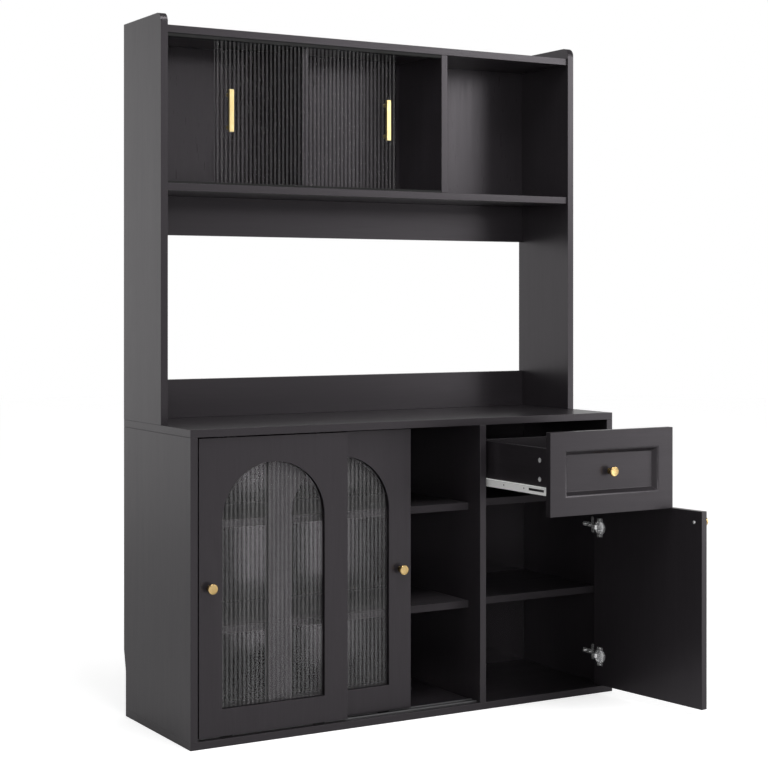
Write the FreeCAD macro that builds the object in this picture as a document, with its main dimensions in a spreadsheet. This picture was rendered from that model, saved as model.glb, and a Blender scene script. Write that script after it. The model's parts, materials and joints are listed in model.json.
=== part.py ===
import FreeCAD
import Part
import Sketcher
import math
import os
import re

# Driving sizes in millimetres and degrees
SIZES = {
    "unit_width": 1200, "base_depth": 400, "unit_height": 1700, "base_height": 728,
    "hutch_depth": 230, "board": 18, "back_sheet": 5,
    "notch_depth": 12, "notch_low": 111, "notch_high": 163,
    "divider_at": 195, "hutch_divider_at": 192,
    "back_inset": 19, "hutch_back_inset": 8, "groove_depth": 6, "groove_clear": 0.2,
    "hutch_setback": 5, "side_rise": 28, "corner_radius": 22,
    "hutch_bay_height": 355, "apron_height": 97.5, "backsplash_height": 96,
    "shelf_setback": 52, "shelf_gap": 0.5, "low_shelf_height": 266, "high_shelf_height": 512,
    "right_shelf_height": 270, "drawer_bay_height": 186, "drawer_board_setback": 20,
    "pin_radius": 2.5, "pin_length": 16, "pin_seat": 8, "pin_setin": 40, "pin_clear": 0.05,
    "slide_setback": 8, "slide_gap": 4, "slide_overlap": 14, "slide_top_gap": 3.5,
    "slide_bottom_gap": 4, "stile": 62, "rail_top": 60, "rail_bottom": 62.5,
    "left_door_offset": 3, "right_door_offset": 184,
    "pane": 3.8, "rib_height": 1.2, "rib_width": 10.6, "rib_pitch": 11, "glass_lap": 10,
    "glass_clear": 0.3, "rebate": 5.2,
    "ridge_width": 2, "ridge_height": 3.2, "track_width": 10, "track_flange": 2, "track_clear": 0.1,
    "glide_length": 30, "glide_width": 9, "glide_seat": 10, "glide_inset": 60, "glide_clear": 0.4,
    "guide_radius": 3.6, "guide_seat": 12, "guide_reach": 5, "guide_groove": 9, "guide_groove_depth": 8,
    "knob_radius": 12, "knob_length": 21, "knob_face": 6, "knob_neck": 5.5, "knob_foot": 8,
    "knob_foot_thick": 2, "knob_round": 2, "knob_edge": 30, "knob_bore_depth": 12,
    "screw_radius": 2, "screw_head": 4, "screw_head_thick": 2.2, "screw_clear": 0.1,
    "front_gap": 3, "front_gap_top": 2, "front_drop": 204, "front_split_gap": 2, "door_bottom_gap": 2.5,
    "frame_rail": 46.5, "recess_depth": 13, "recess_slope": 37,
    "drawer_pull": 268.5, "drawer_depth": 330, "drawer_side": 12, "drawer_side_height": 112,
    "drawer_lift": 32, "drawer_sheet": 4, "drawer_sheet_up": 10, "drawer_groove": 5,
    "face_groove": 2.5,
    "cam_radius": 6, "cam_depth": 9, "cam_back": 40, "cam_low": 36, "cam_spacing": 46, "cam_slot": 1.6,
    "slide_side_gap": 13, "metal_thick": 1.2, "slide_height": 20.2, "slide_flange": 10,
    "slide_lip_width": 9.2,
    "roller_radius": 8.5, "roller_width": 6, "roller_clear": 0.3, "roller_front": 40, "roller_rear": 13,
    "roller_off_wall": 4, "axle_radius": 2, "axle_clear": 0.05, "axle_head": 3.4, "axle_head_thick": 0.8,
    "channel_start": 22, "channel_lip": 7, "channel_flange": 10.8,
    "hole_radius": 2.5, "hole_one": 191, "hole_two": 105, "slot_from": 21, "slot_length": 64, "slot_width": 6,
    "pin_from_edge": 13, "pin_from_front": 8, "door_open": 97.5, "hinge_end": 75,
    "cup_from_edge": 22.5, "cup_radius": 17.4, "cup_hollow": 16, "cup_depth": 13, "cup_floor": 1,
    "cup_clear": 0.1, "flange_radius": 19, "flange_half": 24, "flange_width": 18, "flange_thick": 1.2,
    "cup_screw_at": 20.5, "small_screw": 1.5, "small_head": 2.6, "small_head_thick": 1.4,
    "small_screw_depth": 9, "ear_width": 7, "ear_rise": 3.2, "ear_from": 6.8,
    "hinge_pin": 1.5, "hinge_pin_half": 12.2, "hinge_pin_clear": 0.05,
    "arm_back": 15, "arm_rise": 19, "arm_thick": 3, "arm_height": 12, "arm_reach": 86, "arm_body": 5,
    "arm_nose": 1, "plate_thick": 2, "plate_from": 32, "plate_width": 24, "plate_half": 20.5,
    "boss_thick": 2, "boss_half": 5, "boss_from": 26, "boss_length": 58, "plate_screw_at": 15.5,
    "plate_screw": 1.75, "plate_head": 3.6, "plate_screw_depth": 12,
    "door_knob_edge": 25, "door_knob_top": 28,
    "hutch_track_inset": 2, "inner_divider_gap": 8.5, "track_lip": 1.5, "channel_side": 0.75,
    "track_base": 1.5,
    "lower_track": 5, "upper_track": 8, "panel_lift": 0.5, "panel_top_gap": 1.5,
    "panel_overlap": 55, "left_panel_offset": 126, "right_panel_offset": 129,
    "handle_length": 102, "handle_width": 12, "handle_depth": 8, "handle_post": 14,
    "handle_post_radius": 4, "handle_post_inset": 12, "handle_edge": 34, "handle_round": 1,
}

doc = FreeCAD.newDocument("KitchenHutch")
sheet = doc.addObject("Spreadsheet::Sheet", "Sizes")
for row, (alias, size) in enumerate(SIZES.items(), 1):
    sheet.set("A%d" % row, alias)
    sheet.set("B%d" % row, str(size))
    sheet.setAlias("B%d" % row, alias)
doc.recompute()

NODES = {}
X_AXIS = FreeCAD.Rotation(FreeCAD.Vector(0, 1, 0), 90)
Y_AXIS = FreeCAD.Rotation(FreeCAD.Vector(1, 0, 0), -90)
Z_AXIS = FreeCAD.Rotation()


def bound(formula):
    """A formula in size names, rewritten for the sheet."""
    return re.sub(r"[a-z_]+", lambda word: "Sizes." + word[0] if word[0] in SIZES else word[0], str(formula))


def bind(thing, **formulas):
    for name, formula in formulas.items():
        thing.setExpression(name, bound(formula))


def place(thing, x="0", y="0", z="0", turn=None):
    """Put a piece at a point, turned about the vertical by an angle if one is given."""
    for axis, formula in zip("xyz", (x, y, z)):
        thing.setExpression("Placement.Base." + axis, bound(formula))
    if turn:
        thing.Placement.Rotation = FreeCAD.Rotation(FreeCAD.Vector(0, 0, 1), 1)
        thing.setExpression("Placement.Rotation.Angle", bound(turn))


def node(label, thing):
    """Name a finished piece."""
    thing.Label = label
    NODES[label] = thing
    return thing


def box(x, y, z, length, width, height, name="block"):
    thing = doc.addObject("Part::Box", name)
    bind(thing, Length=length, Width=width, Height=height)
    place(thing, x, y, z)
    return thing


def rod(x, y, z, radius, length, axis=Z_AXIS, name="rod"):
    thing = doc.addObject("Part::Cylinder", name)
    thing.Placement = FreeCAD.Placement(FreeCAD.Vector(), axis)
    bind(thing, Radius=radius, Height=length)
    place(thing, x, y, z)
    return thing


def fuse(pieces, name="joined"):
    if len(pieces) == 1:
        return pieces[0]
    thing = doc.addObject("Part::MultiFuse", name)
    thing.Shapes = pieces
    return thing


def cut(base, tools, name="cut"):
    thing = doc.addObject("Part::Cut", name)
    thing.Base = base
    thing.Tool = fuse(tools, "tools")
    return thing


def group(pieces, name="group"):
    thing = doc.addObject("Part::Compound", name)
    thing.Links = pieces
    return thing


def new_body(name):
    return doc.addObject("PartDesign::Body", name)


def new_sketch(body, role, lift=None):
    """A sketch on one of the body's own planes, raised along the plane's normal if asked."""
    sketch = body.newObject("Sketcher::SketchObject", body.Name + "_sketch")
    plane = [item for item in body.Origin.OriginFeatures if item.Role == role][0]
    sketch.AttachmentSupport = (plane, [""])
    sketch.MapMode = "FlatFace"
    if lift:
        sketch.setExpression("AttachmentOffset.Base.z", bound(lift))
    return sketch


def polygon(sketch, points):
    """A closed outline with every corner's place tied to the sheet."""
    count = len(points)
    first = sketch.GeometryCount
    corners = [FreeCAD.Vector(9 * math.cos(6.2832 * k / count), 9 * math.sin(6.2832 * k / count), 0)
               for k in range(count)]
    for k in range(count):
        sketch.addGeometry(Part.LineSegment(corners[k], corners[(k + 1) % count]), False)
    for k in range(count):
        follower = first + (k + 1) % count
        sketch.addConstraint(Sketcher.Constraint("Coincident", first + k, 2, follower, 1))
    for k, point in enumerate(points):
        for kind, formula in zip(("DistanceX", "DistanceY"), point):
            index = sketch.addConstraint(Sketcher.Constraint(kind, -1, 1, first + k, 1, 1.0))
            sketch.setExpression("Constraints[%d]" % index, bound(formula))


def rectangle(x, y, length, width):
    return [(x, y), ("%s + %s" % (x, length), y), ("%s + %s" % (x, length), "%s + %s" % (y, width)),
            (x, "%s + %s" % (y, width))]


def pad(body, role, points, length):
    sketch = new_sketch(body, role)
    polygon(sketch, points)
    feature = body.newObject("PartDesign::Pad", body.Name + "_pad")
    feature.Profile = sketch
    bind(feature, Length=length)
    return feature


def round_edges(body, feature, radius, wanted):
    """Round the edges that the test picks."""
    doc.recompute()
    names = ["Edge%d" % (k + 1) for k, edge in enumerate(feature.Shape.Edges) if wanted(edge)]
    rounding = body.newObject("PartDesign::Fillet", body.Name + "_round")
    rounding.Base = (feature, names)
    bind(rounding, Radius=radius)
    return rounding


# Planes that the boards share
LEFT = "(-unit_width/2)"
FRONT = "(-base_depth/2)"
BACK = "(base_depth/2)"
IN_LEFT = "(-unit_width/2 + board)"
IN_RIGHT = "(unit_width/2 - board)"
INSIDE = "(unit_width - 2*board)"
UNDER_TOP = "(base_height - board)"
DRAWER_BOARD_TOP = "(base_height - board - drawer_bay_height)"
FRONT_SPLIT = "(base_height - board - front_drop)"
SHEET_FRONT = "(base_depth/2 - back_inset - back_sheet)"
DIVIDER_LEFT = "(divider_at - board/2)"
DIVIDER_RIGHT = "(divider_at + board/2)"
SHELF_FRONT = "(-base_depth/2 + shelf_setback)"
HUTCH_FRONT = "(base_depth/2 - hutch_depth)"
HUTCH_INNER = "(base_depth/2 - hutch_depth + hutch_setback)"
HUTCH_BOARD_DEPTH = "(hutch_depth - hutch_setback)"
HUTCH_TOP = "(unit_height - side_rise)"
HUTCH_UNDER_TOP = "(unit_height - side_rise - board)"
HUTCH_SHELF_TOP = "(unit_height - side_rise - board - hutch_bay_height)"
HUTCH_SHEET_FRONT = "(base_depth/2 - hutch_back_inset - back_sheet)"
HUTCH_DIVIDER_LEFT = "(hutch_divider_at - board/2)"
TRACK_LINES = ["(-base_depth/2 + slide_setback + board/2)",
               "(-base_depth/2 + slide_setback + 3*board/2 + slide_gap)"]

# Shelf pins: the wall they stand in, the way they point, and the shelf they carry
PIN_WALLS = {
    "base_side_left": [(IN_LEFT, 1, "low_shelf_height"), (IN_LEFT, 1, "high_shelf_height")],
    "base_divider": [(DIVIDER_LEFT, -1, "low_shelf_height"), (DIVIDER_LEFT, -1, "high_shelf_height"),
                     (DIVIDER_RIGHT, 1, "right_shelf_height")],
    "base_side_right": [(IN_RIGHT, -1, "right_shelf_height")],
}
PIN_ROWS = ["(%s + pin_setin)" % SHELF_FRONT, "(%s - pin_setin)" % SHEET_FRONT]


def pin_rods(wall_name, extra, into, out):
    """Rods on the pin lines of one wall, reaching into the wall and out of it."""
    rods = []
    for wall, way, shelf in PIN_WALLS[wall_name]:
        start = "%s - %s" % (wall, into if way > 0 else out)
        for row in PIN_ROWS:
            height = "%s - board - pin_radius" % shelf
            rods.append(rod(start, row, height, "pin_radius + %s" % extra, "%s + %s" % (into, out), X_AXIS))
    return rods


# Base: bottom board, sides, divider, back sheet and countertop
bottom = box(LEFT, FRONT, "0", "unit_width", "base_depth - notch_depth", "board")
track_start = "(%s + track_clear)" % IN_LEFT
track_run = "(%s - %s - 2*track_clear)" % (DIVIDER_LEFT, IN_LEFT)
track_beds = [box(IN_LEFT, "%s - track_width/2 - track_clear" % line, "board - track_flange",
                  "%s - %s" % (DIVIDER_LEFT, IN_LEFT), "track_width + 2*track_clear", "2*track_flange")
              for line in TRACK_LINES]
node("base_bottom_board", cut(bottom, track_beds))

tracks = []
for line in TRACK_LINES:
    flange = box(track_start, "%s - track_width/2" % line, "board - track_flange", track_run,
                 "track_width", "track_flange")
    ridge = box(track_start, "%s - ridge_width/2" % line, "board - track_flange/2", track_run,
                "ridge_width", "ridge_height + track_flange/2")
    tracks.append(fuse([flange, ridge]))
node("base_track_rails", group(tracks))

SIDE_OUTLINE = [(FRONT, "board"), ("%s - notch_depth" % BACK, "board"),
                ("%s - notch_depth" % BACK, "notch_low"), (BACK, "notch_high"),
                (BACK, UNDER_TOP), (FRONT, UNDER_TOP)]
HINGE_X = "(%s - front_gap - pin_from_edge)" % IN_RIGHT
HINGE_Y = "(%s + pin_from_front)" % FRONT
DOOR_TOP = "(%s - front_split_gap/2)" % FRONT_SPLIT
DOOR_LOW = "(board + door_bottom_gap)"
HINGE_HEIGHTS = ["(%s + hinge_end)" % DOOR_LOW, "(%s - hinge_end)" % DOOR_TOP]
PLATE_SCREW_Y = "(%s + plate_from + plate_width/2)" % HINGE_Y
PLATE_SCREW_HEIGHTS = ["(%s %s plate_screw_at)" % (height, sign) for height in HINGE_HEIGHTS for sign in "+-"]

for label, start, groove_start in (("base_side_left", LEFT, "%s - groove_depth" % IN_LEFT),
                                   ("base_side_right", IN_RIGHT, IN_RIGHT)):
    panel = new_body(label + "_body")
    pad(panel, "YZ_Plane", SIDE_OUTLINE, "board")
    place(panel, start)
    tools = [box(groove_start, "%s - groove_clear/2" % SHEET_FRONT, "board", "groove_depth",
                 "back_sheet + groove_clear", "%s - board" % UNDER_TOP)]
    tools += pin_rods(label, "pin_clear", "pin_seat", "pin_clear")
    if label == "base_side_right":
        tools += [rod("%s - screw_clear" % IN_RIGHT, PLATE_SCREW_Y, height, "plate_screw + screw_clear",
                      "plate_screw_depth + 2*screw_clear", X_AXIS) for height in PLATE_SCREW_HEIGHTS]
    node(label, cut(panel, tools))

divider = box(DIVIDER_LEFT, FRONT, "board", "board", "%s - %s" % (SHEET_FRONT, FRONT),
              "%s - board" % UNDER_TOP)
node("base_divider", cut(divider, pin_rods("base_divider", "pin_clear", "pin_seat", "pin_clear")))
node("base_back_panel", box("%s - groove_depth + groove_clear" % IN_LEFT, SHEET_FRONT, "board",
                            "%s + 2*groove_depth - 2*groove_clear" % INSIDE, "back_sheet",
                            "%s - board" % UNDER_TOP))
counter = box(LEFT, FRONT, UNDER_TOP, "unit_width", "base_depth", "board")
guide_grooves = [box(IN_LEFT, "%s - guide_groove/2" % line, UNDER_TOP, "%s - %s" % (DIVIDER_LEFT, IN_LEFT),
                     "guide_groove", "guide_groove_depth") for line in TRACK_LINES]
node("countertop", cut(counter, guide_grooves))

# Shelves inside the base
SHELF_DEPTH = "(%s - %s - shelf_gap)" % (SHEET_FRONT, SHELF_FRONT)
for label, start, end, top in (("base_shelf_left_lower", IN_LEFT, DIVIDER_LEFT, "low_shelf_height"),
                               ("base_shelf_left_upper", IN_LEFT, DIVIDER_LEFT, "high_shelf_height"),
                               ("base_shelf_right", DIVIDER_RIGHT, IN_RIGHT, "right_shelf_height")):
    node(label, box("%s + shelf_gap" % start, SHELF_FRONT, "%s - board" % top,
                    "%s - %s - 2*shelf_gap" % (end, start), SHELF_DEPTH, "board"))
node("under_drawer_board", box(DIVIDER_RIGHT, "%s + drawer_board_setback" % FRONT,
                               "%s - board" % DRAWER_BOARD_TOP,
                               "%s - %s" % (IN_RIGHT, DIVIDER_RIGHT),
                               "%s - %s - drawer_board_setback" % (SHEET_FRONT, FRONT), "board"))
node("shelf_pins", group([pin for wall in PIN_WALLS
                          for pin in pin_rods(wall, "0", "pin_seat", "(pin_length - pin_seat)")]))


def knob(label, x, y, z, turn=None):
    """A round knob with a flat face, a neck and a foot, pointing forwards from a front face."""
    body = new_body(label)
    sketch = new_sketch(body, "XY_Plane")
    polygon(sketch, [("screw_radius", "0"), ("knob_foot", "0"), ("knob_foot", "-knob_foot_thick"),
                     ("knob_neck", "-knob_foot_thick - (knob_foot - knob_neck)/2"),
                     ("knob_neck", "-knob_length + knob_face + (knob_radius - knob_neck)/2"),
                     ("knob_radius", "-knob_length + knob_face"), ("knob_radius", "-knob_length"),
                     ("0", "-knob_length"), ("0", "-knob_bore_depth"), ("screw_radius", "-knob_bore_depth")])
    turned = body.newObject("PartDesign::Revolution", label + "_turned")
    turned.Profile = sketch
    turned.ReferenceAxis = (sketch, ["V_Axis"])
    turned.Angle = 360
    reach = SIZES["knob_length"]
    round_edges(body, turned, "knob_round",
                lambda edge: edge.BoundBox.YLength < 1e-6 and abs(edge.BoundBox.YMin + reach) < 1e-6
                and edge.BoundBox.XLength > SIZES["knob_radius"])
    place(body, x, y, z, turn)
    return node(label, body)


def knob_screw(label, x, y, z, panel, turn=None):
    """A pan-head screw through a panel from behind; its length follows the panel."""
    body = new_body(label)
    sketch = new_sketch(body, "XY_Plane")
    shank = "(screw_radius - screw_clear)"
    polygon(sketch, [("0", "screw_head_thick"), ("screw_head - screw_head_thick/3", "screw_head_thick"),
                     ("screw_head", "screw_head_thick/2"), ("screw_head", "0"), (shank, "0"),
                     (shank, "-(%s) - knob_bore_depth + screw_clear" % panel),
                     ("0", "-(%s) - knob_bore_depth + screw_clear" % panel)])
    turned = body.newObject("PartDesign::Revolution", label + "_turned")
    turned.Profile = sketch
    turned.ReferenceAxis = (sketch, ["V_Axis"])
    turned.Angle = 360
    place(body, x, y, z, turn)
    return node(label, body)


def fluted_pane(label, x, y, z, width, height):
    """A clear pane with upright ribs on its front; y is the plane of the rib crests."""
    body = new_body(label)
    pad(body, "XY_Plane", rectangle("0", "rib_height", width, "pane"), height)
    sketch = new_sketch(body, "XY_Plane")
    half = SIZES["rib_width"] / 2
    rise = SIZES["rib_height"]
    radius = (half ** 2 + rise ** 2) / (2 * rise)
    lean = math.asin(half / radius)
    low_end = FreeCAD.Vector(1, rise, 0)
    high_end = FreeCAD.Vector(1 + 2 * half, rise, 0)
    circle = Part.Circle(FreeCAD.Vector(1 + half, radius, 0), FreeCAD.Vector(0, 0, 1), radius)
    sketch.addGeometry(Part.ArcOfCircle(circle, -math.pi / 2 - lean, -math.pi / 2 + lean), False)
    sketch.addGeometry(Part.LineSegment(high_end, low_end), False)
    sketch.addConstraint(Sketcher.Constraint("Coincident", 0, 2, 1, 1))
    sketch.addConstraint(Sketcher.Constraint("Coincident", 0, 1, 1, 2))
    margin = "(%s - rib_width - rib_pitch*floor((%s - rib_width)/rib_pitch))/2" % (width, width)
    for kind, corner, value, formula in (("DistanceX", 2, low_end.x, margin),
                                         ("DistanceY", 2, low_end.y, "rib_height"),
                                         ("DistanceX", 1, high_end.x, "%s + rib_width" % margin),
                                         ("DistanceY", 1, high_end.y, "rib_height")):
        index = sketch.addConstraint(Sketcher.Constraint(kind, -1, 1, 1, corner, value))
        sketch.setExpression("Constraints[%d]" % index, bound(formula))
    index = sketch.addConstraint(Sketcher.Constraint("Radius", 0, radius))
    sketch.setExpression("Constraints[%d]" % index,
                         bound("(rib_width^2/4 + rib_height^2)/(2*rib_height)"))
    rib = body.newObject("PartDesign::Pad", label + "_rib")
    rib.Profile = sketch
    bind(rib, Length=height)
    doc.recompute()
    row = body.newObject("PartDesign::LinearPattern", label + "_ribs")
    row.Originals = [rib]
    row.Direction = (sketch, ["H_Axis"])
    bind(row, Length="rib_pitch*floor((%s - rib_width)/rib_pitch)" % width,
         Occurrences="floor((%s - rib_width)/rib_pitch) + 1" % width)
    body.Tip = row
    place(body, x, y, z)
    return node(label, body)


# Sliding doors of the base: slab with an arched window, pane, knob, glides below and guides above
SLIDE_LOW = "(board + slide_bottom_gap)"
SLIDE_TOP = "(%s - slide_top_gap)" % UNDER_TOP
SLIDE_TALL = "(%s - %s)" % (SLIDE_TOP, SLIDE_LOW)
SLIDE_WIDTH = "((%s - %s + slide_overlap)/2)" % (DIVIDER_LEFT, IN_LEFT)
ARCH = "(%s/2 - stile)" % SLIDE_WIDTH
WINDOW_LOW = "(%s + rail_bottom)" % SLIDE_LOW
WINDOW_TOP = "(%s - rail_top)" % SLIDE_TOP
SPRING = "(%s - %s)" % (WINDOW_TOP, ARCH)
KNOB_HEIGHT = "(%s + %s/2)" % (SLIDE_LOW, SLIDE_TALL)

for side, line, start, knob_at in (
        ("left", TRACK_LINES[0], "(%s + left_door_offset)" % IN_LEFT, "knob_edge"),
        ("right", TRACK_LINES[1], "(%s - right_door_offset - %s)" % (DIVIDER_LEFT, SLIDE_WIDTH),
         "(%s - knob_edge)" % SLIDE_WIDTH)):
    name = "sliding_door_" + side
    front = "(%s - board/2)" % line
    middle = "(%s + %s/2)" % (start, SLIDE_WIDTH)
    glide_starts = ["(%s + glide_inset)" % start,
                    "(%s + %s - glide_inset - glide_length)" % (start, SLIDE_WIDTH)]
    guide_places = ["(%s + glide_length/2)" % place_on for place_on in glide_starts]
    slab = box(start, front, SLIDE_LOW, SLIDE_WIDTH, "board", SLIDE_TALL)
    pane_x = "(%s + stile - glass_lap)" % start
    pane_width = "(%s - 2*stile + 2*glass_lap)" % SLIDE_WIDTH
    pane_low = "(%s - glass_lap)" % WINDOW_LOW
    pane_tall = "(%s - %s + 2*glass_lap)" % (WINDOW_TOP, WINDOW_LOW)
    tools = [box("%s - %s" % (middle, ARCH), front, WINDOW_LOW, "2*%s" % ARCH, "board",
                 "%s - %s" % (SPRING, WINDOW_LOW)),
             rod(middle, front, SPRING, ARCH, "board", Y_AXIS),
             box(pane_x, "%s + board - rebate" % front, pane_low, pane_width, "rebate", pane_tall),
             rod("%s + %s" % (start, knob_at), front, KNOB_HEIGHT, "screw_radius + screw_clear", "board",
                 Y_AXIS)]
    for glide_start in glide_starts:
        tools.append(box("%s - track_clear" % glide_start, "%s - glide_width/2 - track_clear" % line,
                         SLIDE_LOW,
                         "glide_length + 2*track_clear", "glide_width + 2*track_clear", "glide_seat"))
    for guide_at in guide_places:
        tools.append(rod(guide_at, line, "%s - guide_seat" % SLIDE_TOP, "guide_radius + pin_clear",
                         "guide_seat"))
    node(name + "_frame", cut(slab, tools))
    fluted_pane(name + "_glass", "%s + glass_clear" % pane_x, "%s + board - rebate" % front,
                "%s + glass_clear" % pane_low, "(%s - 2*glass_clear)" % pane_width,
                "%s - 2*glass_clear" % pane_tall)
    knob(name + "_knob", "%s + %s" % (start, knob_at), front, KNOB_HEIGHT)
    knob_screw(name + "_knob_screw", "%s + %s" % (start, knob_at), "%s + board" % front, KNOB_HEIGHT, "board")
    glides = []
    for glide_start in glide_starts:
        shoe = box(glide_start, "%s - glide_width/2" % line, "board + glide_clear", "glide_length",
                   "glide_width", "slide_bottom_gap - glide_clear + glide_seat")
        slot = box(glide_start, "%s - ridge_width/2 - glide_clear" % line, "board", "glide_length",
                   "ridge_width + 2*glide_clear", "ridge_height + glide_clear")
        glides.append(cut(shoe, [slot]))
    node(name + "_glides", group(glides))
    node(name + "_guides", group([rod(guide_at, line, "%s - guide_seat" % SLIDE_TOP, "guide_radius",
                                      "guide_seat + slide_top_gap + guide_reach")
                                  for guide_at in guide_places]))


def front_panel(name, width, tall):
    """A slab front with a sunk middle; origin at its left lower corner on its back face."""
    body = new_body(name)
    pad(body, "XZ_Plane", rectangle("0", "0", width, tall), "board")
    sketch = new_sketch(body, "XZ_Plane", "board")
    polygon(sketch, rectangle("frame_rail", "frame_rail", "(%s - 2*frame_rail)" % width,
                              "(%s - 2*frame_rail)" % tall))
    doc.recompute()
    sunk = body.newObject("PartDesign::Pocket", name + "_sunk")
    sunk.Profile = sketch
    bind(sunk, Length="recess_depth", TaperAngle="-recess_slope")
    doc.recompute()
    return body


# Hinged door, built about its hinge pin and then swung open
BAY = "(%s - %s)" % (IN_RIGHT, DIVIDER_RIGHT)
FRONT_WIDTH = "(%s - 2*front_gap)" % BAY
INNER_FACE = "(board - pin_from_front)"
CUP_X = "(pin_from_edge - cup_from_edge)"
CUP_BOTTOM = "(%s - cup_depth)" % INNER_FACE
DOOR_KNOB_X = "(pin_from_edge - %s + door_knob_edge)" % FRONT_WIDTH
DOOR_KNOB_Z = "(%s - door_knob_top)" % DOOR_TOP
CUP_SCREWS = ["(%s %s cup_screw_at)" % (height, sign) for height in HINGE_HEIGHTS for sign in "+-"]


def hang(thing):
    """Hang a door piece on the hinge pin at the opening angle."""
    place(thing, HINGE_X, HINGE_Y, "0", "door_open")


slab = front_panel("door_slab", FRONT_WIDTH, "(%s - %s)" % (DOOR_TOP, DOOR_LOW))
place(slab, "pin_from_edge - %s" % FRONT_WIDTH, INNER_FACE, DOOR_LOW)
tools = [rod(CUP_X, CUP_BOTTOM, height, "cup_radius + cup_clear", "cup_depth", Y_AXIS)
         for height in HINGE_HEIGHTS]
tools += [rod(CUP_X, "%s - small_screw_depth - screw_clear" % INNER_FACE, height, "small_screw + screw_clear",
              "small_screw_depth + screw_clear", Y_AXIS) for height in CUP_SCREWS]
tools.append(rod(DOOR_KNOB_X, "-pin_from_front", DOOR_KNOB_Z, "screw_radius + screw_clear", "board", Y_AXIS))
hang(node("door_panel", cut(slab, tools)))

cups = []
for height in HINGE_HEIGHTS:
    pot = rod(CUP_X, CUP_BOTTOM, height, "cup_radius", "cup_depth + flange_thick", Y_AXIS)
    disc = rod(CUP_X, INNER_FACE, height, "flange_radius", "flange_thick", Y_AXIS)
    wing = box("%s - flange_width/2" % CUP_X, INNER_FACE, "%s - flange_half" % height, "flange_width",
               "flange_thick", "2*flange_half")
    hollow = rod(CUP_X, "%s + cup_floor" % CUP_BOTTOM, height, "cup_hollow", "cup_depth + flange_thick",
                 Y_AXIS)
    shell = cut(fuse([pot, disc, wing]), [hollow])
    ear_blocks = [box("-ear_width/2", "%s + cup_floor/2" % CUP_BOTTOM, "%s %s" % (height, offset),
                      "ear_width", "ear_rise - %s - cup_floor/2" % CUP_BOTTOM, "cup_radius")
                  for offset in ("+ ear_from", "- ear_from - cup_radius")]
    ears = doc.addObject("Part::Common", "ears")
    ears.Base = fuse(ear_blocks)
    ears.Tool = rod(CUP_X, CUP_BOTTOM, height, "cup_radius", "cup_depth", Y_AXIS)
    bores = [rod("0", "0", "%s - cup_radius" % height, "hinge_pin + hinge_pin_clear", "2*cup_radius")]
    bores += [rod(CUP_X, INNER_FACE, "%s %s cup_screw_at" % (height, sign), "small_screw + screw_clear",
                  "flange_thick", Y_AXIS) for sign in "+-"]
    cups.append(cut(fuse([shell, ears]), bores))
hang(node("hinge_cups", group(cups)))

cup_screws = []
for height in CUP_SCREWS:
    shank = rod(CUP_X, "%s - small_screw_depth" % INNER_FACE, height, "small_screw",
                "small_screw_depth + flange_thick + small_head_thick/2", Y_AXIS)
    head = rod(CUP_X, "%s + flange_thick" % INNER_FACE, height, "small_head", "small_head_thick", Y_AXIS)
    cup_screws.append(fuse([shank, head]))
hang(node("hinge_cup_screws", group(cup_screws)))


def swung(x, y):
    """Where a point of the closed door stands once the door is open."""
    return ("%s + (%s)*cos(door_open*1deg) - (%s)*sin(door_open*1deg)" % (HINGE_X, x, y),
            "%s + (%s)*sin(door_open*1deg) + (%s)*cos(door_open*1deg)" % (HINGE_Y, x, y))


knob("door_knob", *swung(DOOR_KNOB_X, "-pin_from_front"), DOOR_KNOB_Z, "door_open")
knob_screw("door_knob_screw", *swung(DOOR_KNOB_X, INNER_FACE), DOOR_KNOB_Z, "board", "door_open")

# Hinge arms with their pins, mounting plates and screws on the right side
PLATE_X = "(%s - plate_thick)" % IN_RIGHT
arms = []
plates = []
plate_screws = []
wall = "(front_gap + pin_from_edge - plate_thick - boss_thick)"
near = "(arm_back - arm_thick/2)"
far = "(arm_back + arm_thick/2)"
low = "(arm_rise - arm_thick/2)"
high = "(arm_rise + arm_thick/2)"
for count, height in enumerate(HINGE_HEIGHTS):
    arm = new_body("hinge_arm_%d" % count)
    pad(arm, "XY_Plane", [("arm_nose", "-arm_thick/2"), ("-" + far, "-arm_thick/2"), ("-" + far, high),
                          ("%s - arm_body" % wall, high), ("%s - arm_body" % wall, "arm_reach"),
                          (wall, "arm_reach"), (wall, low), ("-" + near, low), ("-" + near, "arm_thick/2"),
                          ("arm_nose", "arm_thick/2")], "arm_height")
    place(arm, HINGE_X, HINGE_Y, "%s - arm_height/2" % height)
    pin = rod(HINGE_X, HINGE_Y, "%s - hinge_pin_half" % height, "hinge_pin", "2*hinge_pin_half")
    arms.append(fuse([arm, pin]))
    plate = box(PLATE_X, "%s + plate_from" % HINGE_Y, "%s - plate_half" % height, "plate_thick",
                "plate_width", "2*plate_half")
    boss = box("%s - boss_thick" % PLATE_X, "%s + boss_from" % HINGE_Y, "%s - boss_half" % height,
               "boss_thick + plate_thick", "boss_length", "2*boss_half")
    holes = [rod("%s - plate_thick" % PLATE_X, PLATE_SCREW_Y, "%s %s plate_screw_at" % (height, sign),
                 "plate_screw + screw_clear", "3*plate_thick", X_AXIS) for sign in "+-"]
    plates.append(cut(fuse([plate, boss]), holes))
for height in PLATE_SCREW_HEIGHTS:
    shank = rod("%s - small_head_thick/2" % PLATE_X, PLATE_SCREW_Y, height, "plate_screw",
                "small_head_thick/2 + plate_thick + plate_screw_depth", X_AXIS)
    head = rod("%s - small_head_thick" % PLATE_X, PLATE_SCREW_Y, height, "plate_head", "small_head_thick",
               X_AXIS)
    plate_screws.append(fuse([shank, head]))
node("hinge_arms", group(arms))
node("hinge_plates", group(plates))
node("hinge_plate_screws", group(plate_screws))

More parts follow.
